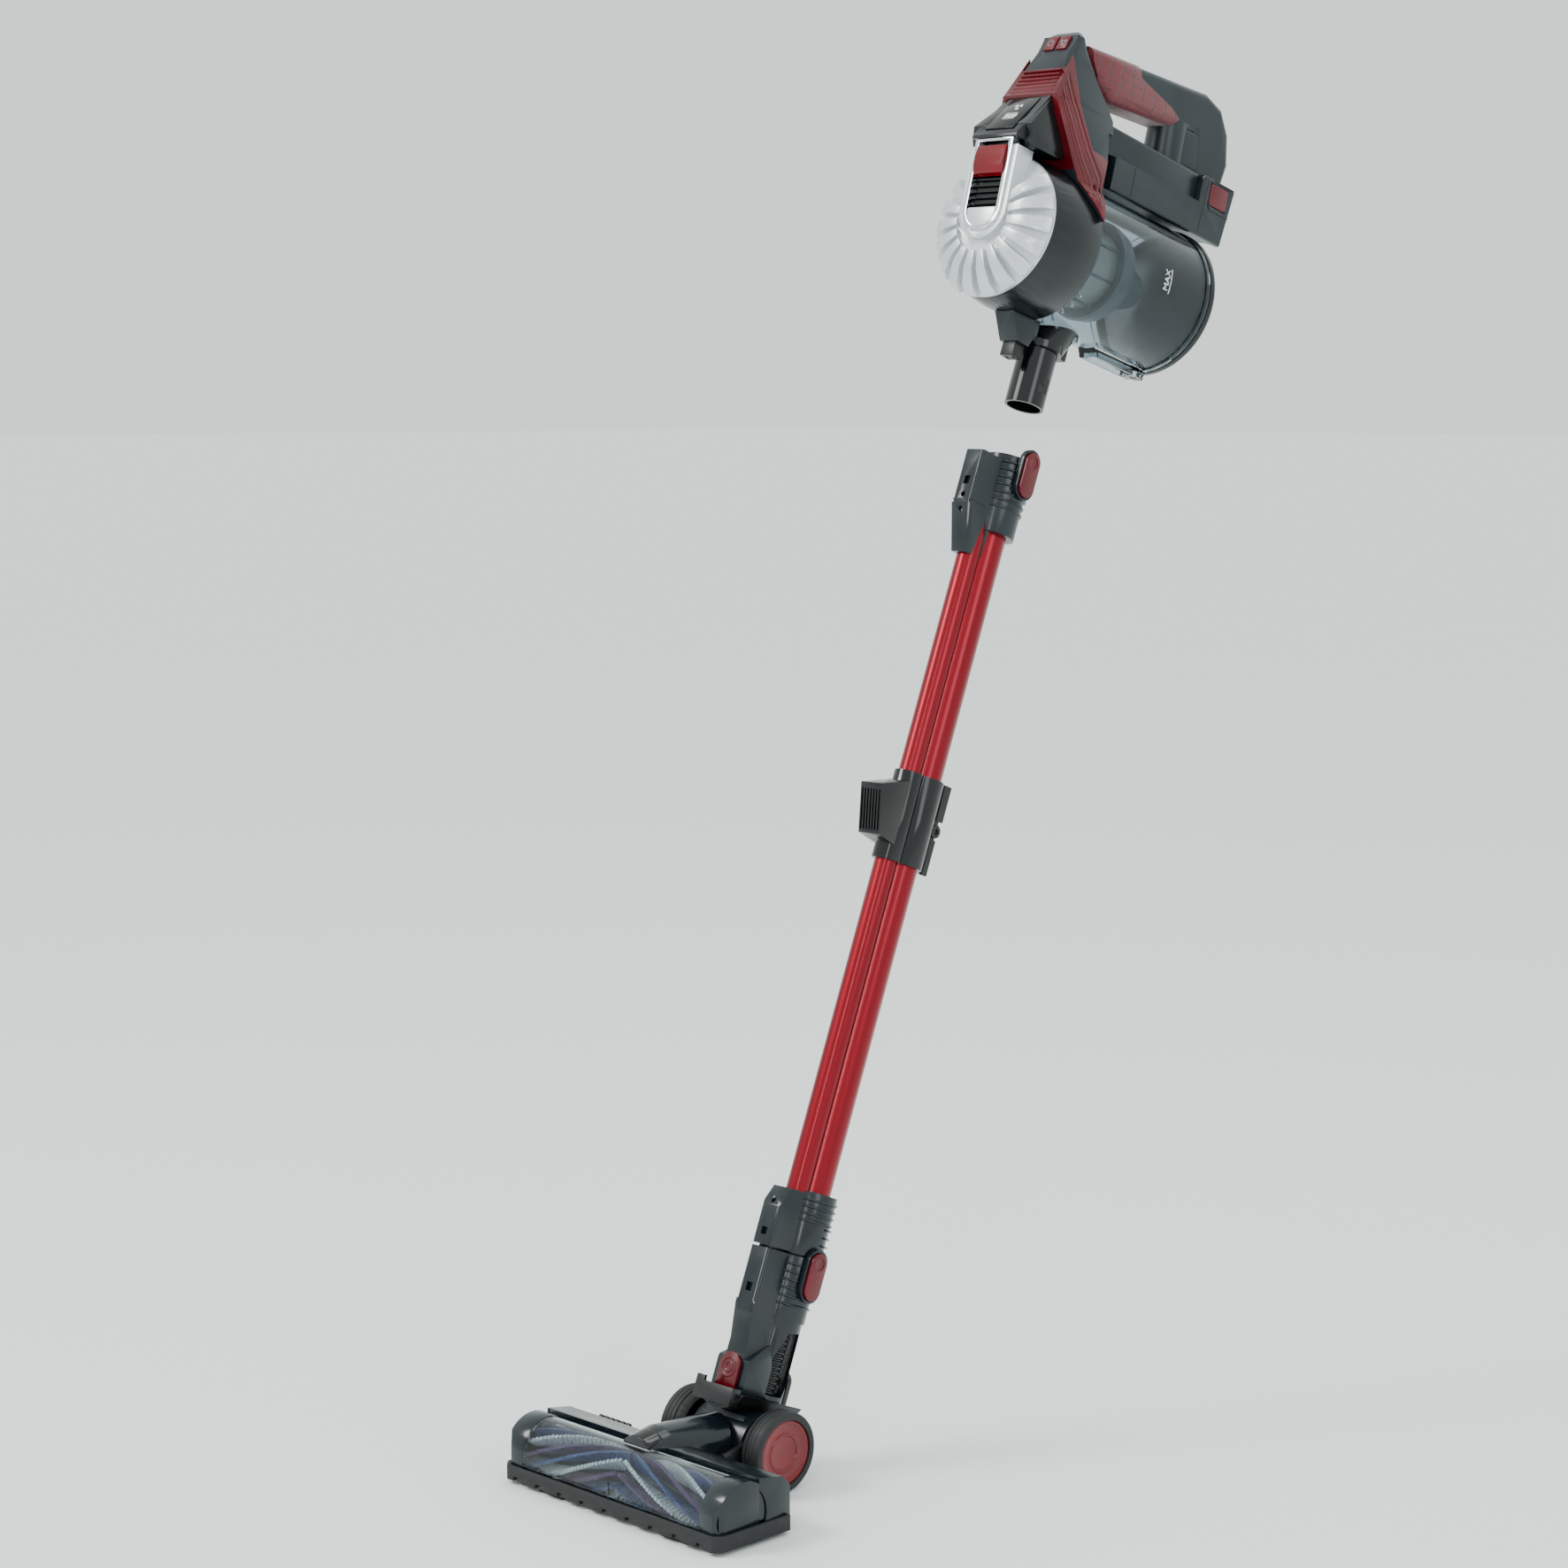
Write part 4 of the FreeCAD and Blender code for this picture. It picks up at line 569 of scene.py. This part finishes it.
def plate(corners, thickness, turn=None):
    # flat outline in x, y, thickened upward; turn is a matrix in mm
    clearSelection()
    mesh = bpy.data.meshes.new("outline")
    mesh.from_pydata([(x * mm, y * mm, 0) for x, y in corners], [], [list(range(len(corners)))])
    piece = bpy.data.objects.new("outline", mesh)
    bpy.context.collection.objects.link(piece)
    applyModifier(piece, "SOLIDIFY", {"thickness": thickness * mm, "offset": 1.0})
    edit(piece)
    bpy.ops.mesh.normals_make_consistent(inside=False)
    leave()
    if turn:
        settle(piece, turn)
    return piece


def slopeFrame(top, foot, side=0.0):
    # a frame on a sloping face: x right, y up the slope, z out of it
    top, foot = Vector(top), Vector(foot)
    upward = (top - foot).normalized()
    right = Vector((1, 0, 0))
    matrix = Matrix((right, upward, right.cross(upward))).transposed().to_4x4()
    matrix.translation = ((top + foot) / 2 + Vector((side, 0, 0))) * mm
    return matrix


def arcPoints(radius, start, stop, count, centre=(0, 0)):
    angles = [math.radians(start + (stop - start) * i / (count - 1)) for i in range(count)]
    return [(centre[0] + radius * math.cos(a), centre[1] + radius * math.sin(a)) for a in angles]


def crescent(outer, inner, start, stop, count=20, centre=(0, 0)):
    return arcPoints(outer, start, stop, count, centre) + arcPoints(inner, stop, start, count, centre)


# display symbols: a battery with three bars and a small fan
displayFrame = slopeFrame((0, -78, 114), (0, -111, 69.5))
lift = Matrix.Translation((0, 0, 1.02 * mm))
displayMarks = {"ink": 0.1, "bars": (-3.4, 0, 3.4), "fanAt": (0, 9.5), "blades": 3}
symbols = [plate([(x - 1.1, -6), (x + 1.1, -6), (x + 1.1, -1), (x - 1.1, -1)], displayMarks["ink"])
           for x in displayMarks["bars"]]
for outline in ([(-6, -7.6), (6, -7.6), (6, -7), (-6, -7)], [(-6, 0), (6, 0), (6, 0.6), (-6, 0.6)],
                [(-6, -7), (-5.4, -7), (-5.4, 0), (-6, 0)], [(5.4, -7), (6, -7), (6, 0), (5.4, 0)],
                [(6, -5), (7, -5), (7, -2), (6, -2)]):
    symbols.append(plate(outline, displayMarks["ink"]))
for step in range(displayMarks["blades"]):
    turned = 360 / displayMarks["blades"] * step
    symbols.append(plate(crescent(4, 1.2, turned, turned + 62, 10, displayMarks["fanAt"]), displayMarks["ink"]))
placed(symbols, "display_symbols", handFrame @ displayFrame @ lift, whiteInk, "hand_unit")

# power and boost symbols on the two press buttons
pressMarks = {"ink": 0.1, "apart": 6.6, "above": 1.41}
pressFrame = slopeFrame((0, -55, 173), (0, -61, 158))
powerMark = [plate(crescent(3.2, 2.5, 120, 420, 26), pressMarks["ink"]),
             plate([(-0.4, 0.6), (0.4, 0.6), (0.4, 4), (-0.4, 4)], pressMarks["ink"])]
settleUp = Matrix.Translation((-pressMarks["apart"] * mm, 0, pressMarks["above"] * mm))
placed(powerMark, "power_symbol", handFrame @ pressFrame @ settleUp, greyInk, "power_button")
boostMark = [plate(crescent(3.4, 1.0, 120 * i, 120 * i + 60, 10), pressMarks["ink"]) for i in range(3)]
settleUp = Matrix.Translation((pressMarks["apart"] * mm, 0, pressMarks["above"] * mm))
placed(boostMark, "boost_symbol", handFrame @ pressFrame @ settleUp, greyInk, "boost_button")

# dark louvred panel inside the bezel, and the silver plate below it
louvres = {"panel": (31.4, 1.2, 56), "heights": (14, 19, 24, 29, 34), "blade": (31, 4.2, 1.3), "tilt": 24}
recess = [block((0, -101.6, 37), louvres["panel"])]
for z in louvres["heights"]:
    recess.append(block((0, -103.2, z), louvres["blade"], (math.radians(louvres["tilt"]), 0, 0)))
placed(recess, "bezel_louvres", handFrame, blackGlossAbs, "front_cover")
bezelPlate = {"centre": (0, -107, 0.6), "size": (30.6, 4.4, 16.4), "edge": 1.2}
silverPlate = block(bezelPlate["centre"], bezelPlate["size"])
softenEdges(silverPlate, bezelPlate["edge"] * mm)
placed([silverPlate], "bezel_plate", handFrame, silverPaint, "front_cover")

# fill mark on the bin: generic word and underline, bent to the wall
fillMark = {"word": "MAX", "height": 8.5, "raised": 0.05, "along": 66, "wall": 62, "line": (21, 0.8, 0.1)}
clearSelection()
bpy.ops.object.text_add()
mark = bpy.context.active_object
mark.data.body = fillMark["word"]
mark.data.size = fillMark["height"] * mm
mark.data.align_x = "CENTER"
mark.data.extrude = fillMark["raised"] * mm
bpy.ops.object.convert(target="MESH")
mark = bpy.context.active_object
underline = block((0, -2.4, 0), fillMark["line"])
mark = joined([mark, underline], "fill_mark")
edit(mark)
bpy.ops.mesh.subdivide(number_cuts=3)
leave()
turn = Matrix.Rotation(math.radians(90), 4, "Z")
for vertex in mark.data.vertices:
    place = turn @ vertex.co
    angle = place.y / (fillMark["wall"] * mm)
    radius = (fillMark["wall"] + 0.12) * mm + place.z
    vertex.co = (radius * math.cos(angle), place.x + fillMark["along"] * mm, radius * math.sin(angle))
placed([mark], "fill_mark", handFrame, whiteInk, "bin")

# moulded seam lines on the battery pack and the rear column
packSeams = {"halfWidth": 30.0, "fine": 0.35, "ear": 0.6}
seams = []
for side in (-1, 1):
    x = side * packSeams["halfWidth"]
    seams.append(wireAlong([(x, 34, 63), (x, 34, 88.6)], packSeams["fine"]))
    seams.append(wireAlong([(x, 128, 64), (x, 131, 111)], packSeams["fine"]))
    ear = [(x, 164, 87), (x, 138, 87), (x, 135.6, 89.4), (x, 135.6, 110), (x, 138, 112.6), (x, 166, 112.6)]
    seams.append(wireAlong(ear, packSeams["ear"]))
placed(seams, "battery_seams", handFrame, blackAbs, "battery")

# bristles: rows of tufts in opposed spirals that meet at the middle; y and z are the roller's axis
brush = {"y": -108, "z": 23.5, "core": 10.2, "reach": 104, "gap": 3, "twist": 1.15, "sides": 7}


def tuftRow(colour, name, phases, pitch, height, radius):
    tufts, sides = [], brush["sides"]
    for phase in phases:
        for side in (-1, 1):
            for step in range(int(brush["reach"] / pitch)):
                x = side * (brush["gap"] + step * pitch)
                angle = math.radians(phase + brush["twist"] * abs(x))
                out = Vector((0, math.cos(angle), math.sin(angle)))
                centre = Vector((x, brush["y"], brush["z"])) + out * (brush["core"] + height / 2)
                tufts.append((centre, out))
    vertices, faces = [], []
    for centre, out in tufts:
        across = Vector((1, 0, 0))
        beside = out.cross(across)
        start = len(vertices)
        for level, r in ((-height / 2, radius * 0.7), (height / 2, radius)):
            for k in range(sides):
                turn = math.radians(360 * k / sides + random.uniform(-9, 9))
                spot = centre + out * (level + (random.uniform(-0.5, 0.1) if level > 0 else 0))
                vertices.append((spot + across * r * math.cos(turn) + beside * r * math.sin(turn)) * mm)
        for k in range(sides):
            n = (k + 1) % sides
            faces.append([start + k, start + n, start + sides + n, start + sides + k])
        faces.append([start + sides + k for k in range(sides)])
        faces.append([start + k for k in reversed(range(sides))])
    mesh = bpy.data.meshes.new(name)
    mesh.from_pydata(vertices, [], faces)
    piece = bpy.data.objects.new(name, mesh)
    bpy.context.collection.objects.link(piece)
    edit(piece)
    bpy.ops.mesh.normals_make_consistent(inside=False)
    leave()
    return placed([piece], name, headFrame, colour, "brush", ("brush_bristles",))


random.seed(7)
tuftRow(blueTufts, "blue_tufts", (0, 90, 180, 270), 2.6, 11.0, 1.5)
tuftRow(whiteTufts, "white_tufts", (30, 120, 210, 300), 3.4, 11.4, 1.7)
tuftRow(purpleTufts, "purple_strip", (60, 150, 240, 330), 1.7, 10.2, 1.6)
print("brush tufts made")

# head: leaf-shaped inlays on the sloping deck, a panel at each end of it, and vent slots by its rear edge
deck = {
    "leaf": [(112, -9), (108, 6), (92, 10), (60, 10.4), (38, 7), (36, 0), (56, -8)],
    "slope": -9.46, "place": (0, -80, 47.9),
    "end": [(-92.4, 17), (-92.4, 49.6), (-68, 45.6), (-61, 38), (-61, 17)], "endAt": 118.4,
    "vents": 6, "ventPitch": 6.4, "vent": (3.6, 3.0, 5.6),
}
inlays, vents, sidePanels = [], [], []
tilted = Matrix.Translation(Vector(deck["place"]) * mm) @ Matrix.Rotation(math.radians(deck["slope"]), 4, "X")
for side in (-1, 1):
    leaf = [(side * x, y) for x, y in deck["leaf"]]
    leaf = leaf if side < 0 else list(reversed(leaf))
    inlays.append(plate(leaf, 0.7, tilted))
    upright = Matrix(((0, 0, 1, side * deck["endAt"] * mm), (1, 0, 0, 0), (0, 1, 0, 0), (0, 0, 0, 1)))
    sidePanels.append(plate(deck["end"], 1.4, upright))
for step in range(deck["vents"]):
    vents.append(block((-58 - step * deck["ventPitch"], -62.4, 41.6), deck["vent"], (math.radians(-40), 0, 0)))
placed(vents, "deck_vents", headFrame, blackAbs, "head")
for inlay in inlays:
    softenEdges(inlay, 0.4 * mm)
placed(inlays, "deck_inlays", headFrame, inlayAbs, "head")
placed(sidePanels, "deck_sides", headFrame, slateGlossAbs, "head")

# the couplings' screws, seam lines and stacked fins
screws = {"places": ((-38, 795), (-37, 216)), "radius": 2.1, "height": 1.6}
heads = [disc((0, y, z), screws["radius"], screws["height"], (0, 1, 0), 28) for y, z in screws["places"]]
placed(heads, "coupling_screws", wandFrame, steel, "wand")


def ring(centre, radius, thickness, segments, turn=(0, 0, 0)):
    clearSelection()
    bpy.ops.mesh.primitive_torus_add(major_radius=radius * mm, minor_radius=thickness * mm,
                                     major_segments=segments[0], minor_segments=segments[1],
                                     location=Vector(centre) * mm, rotation=turn)
    return bpy.context.active_object


def seam(z, reach=43.1):
    return wireAlong([(-10.1, -24, z), (-10.1, -reach, z), (10.1, -reach, z), (10.1, -24, z)], 0.3)


finStacks = {  # name: body, height of the top fin, pitch and count
    "upper_coupling_fins": ("wand", 846, 6.4, 7), "neck_fins": ("neck", 172, 6.4, 6),
    "lower_coupling_fins": ("wand", 224, 5.5, 4),
}
for name, (body, top, pitch, count) in finStacks.items():
    stack = [ring((0, 0, top - pitch * k), 21.0, 1.0, (64, 10)) for k in range(count)]
    placed(stack, name, wandFrame, slateGlossAbs, body)
placed([seam(803)], "coupling_seams", wandFrame, blackAbs, "wand")

# clear upright fins round the bin's inlet, above the elbow
inletFins = {"count": 11, "first": 222, "apart": 9.6, "wall": 58.5, "radius": 1.1, "length": 9}
fins = []
for step in range(inletFins["count"]):
    angle = math.radians(inletFins["first"] + step * inletFins["apart"])
    out = Vector((math.cos(angle), 0, math.sin(angle)))
    spot = out * inletFins["wall"] + Vector((0, -24 + 0.4 * step, 0))
    fins.append(disc(spot, inletFins["radius"], inletFins["length"], out, 10))
placed(fins, "inlet_fins", handFrame, windowClear, "bin")

# tyre tread: three fine moulded ribs round each tyre
tread = {"wheel": 32.0, "rib": 0.45, "places": (41.5, 45.5, 49.5)}
for side, node in ((-1, "wheel_left"), (1, "wheel_right")):
    rings = [ring((side * x, 0, tread["wheel"]), tread["wheel"], tread["rib"], (96, 8), (0, math.radians(90), 0))
             for x in tread["places"]]
    placed(rings, node + "_tread", headFrame, tyreRubber, node)

# bright lower edge of the brush window, as the photograph shows
windowEdge = {"halfLength": 103, "y": -134.2, "z": 17.2, "radius": 0.7}
edgeEnds = [(side * windowEdge["halfLength"], windowEdge["y"], windowEdge["z"]) for side in (-1, 1)]
edgeBar = wireAlong(edgeEnds, windowEdge["radius"])
placed([edgeBar], "window_edge", headFrame, windowClear, "head")

print("modelled pieces made")


# stage: floor, daylight, lamps and the camera of the photograph

def areaLight(name, place, aim, size, power, colour):
    clearSelection()
    bpy.ops.object.light_add(type="AREA", location=place)
    lamp = bpy.context.active_object
    lamp.name = name
    lamp.data.shape = "RECTANGLE"
    lamp.data.size, lamp.data.size_y = size
    lamp.data.energy = power
    lamp.data.color = hexToLinear(colour)[:3]
    lamp.rotation_euler = (Vector(aim) - Vector(place)).to_track_quat("-Z", "Y").to_euler()


stage = {"floor": "eef2f1", "floorSize": 120, "air": "ecf5f3", "airStrength": 1.35, "sun": 1.2, "sunAngle": 18}
clearSelection()
bpy.ops.mesh.primitive_plane_add(size=stage["floorSize"], location=(0, 0, cadBox[0][2] - 0.0002))
floor = bpy.context.active_object
floor.name = "studio_floor"
floorLook = {"Base Color": hexToLinear(stage["floor"]), "Roughness": 0.6}
floorPaint, floorShader = startMaterial("matt studio floor", floorLook)
floor.data.materials.append(floorPaint)

world = bpy.data.worlds.new("studio")
bpy.context.scene.world = world
world.use_nodes = True
world.node_tree.nodes["Background"].inputs["Color"].default_value = hexToLinear(stage["air"])
world.node_tree.nodes["Background"].inputs["Strength"].default_value = stage["airStrength"]

clearSelection()
bpy.ops.object.light_add(type="SUN", location=(-1.4, -2.4, 2.2))
sun = bpy.context.active_object
sun.name = "window daylight"
sun.data.energy = stage["sun"]
sun.data.angle = math.radians(stage["sunAngle"])
sun.rotation_euler = Vector((1.5, 1.9, -2.4)).to_track_quat("-Z", "Y").to_euler()

aim = (0, -0.45, -0.5)
areaLight("key light", (-1.2, -2.6, 1.4), aim, (1.2, 1.2), 34, "fffdf8")
areaLight("fill light", (2.6, -0.8, 0.9), aim, (0.9, 2.2), 20, "f3f8ff")
areaLight("top light", (0.2, 0.6, 2.1), aim, (1.6, 0.8), 16, "ffffff")
areaLight("strip light", (1.6, -2.6, 0.2), (0, -0.2, -0.3), (0.2, 1.9), 12, "ffffff")

view = {"turn": 45.2292, "rise": 6.7906, "place": (1.78822, -2.18991, -0.25489), "lens": 74.8, "sensor": 36}
cameraTurn, cameraRise = math.radians(view["turn"]), math.radians(view["rise"])
cameraBack = Vector((math.sin(cameraTurn) * math.cos(cameraRise), -math.cos(cameraTurn) * math.cos(cameraRise),
                     math.sin(cameraRise)))
clearSelection()
bpy.ops.object.camera_add(location=view["place"],
                          rotation=(-cameraBack).to_track_quat("-Z", "Y").to_euler())
camera = bpy.context.active_object
camera.data.lens = view["lens"]
camera.data.sensor_width = view["sensor"]
camera.data.clip_start = 0.05
bpy.context.scene.camera = camera
print("stage set")
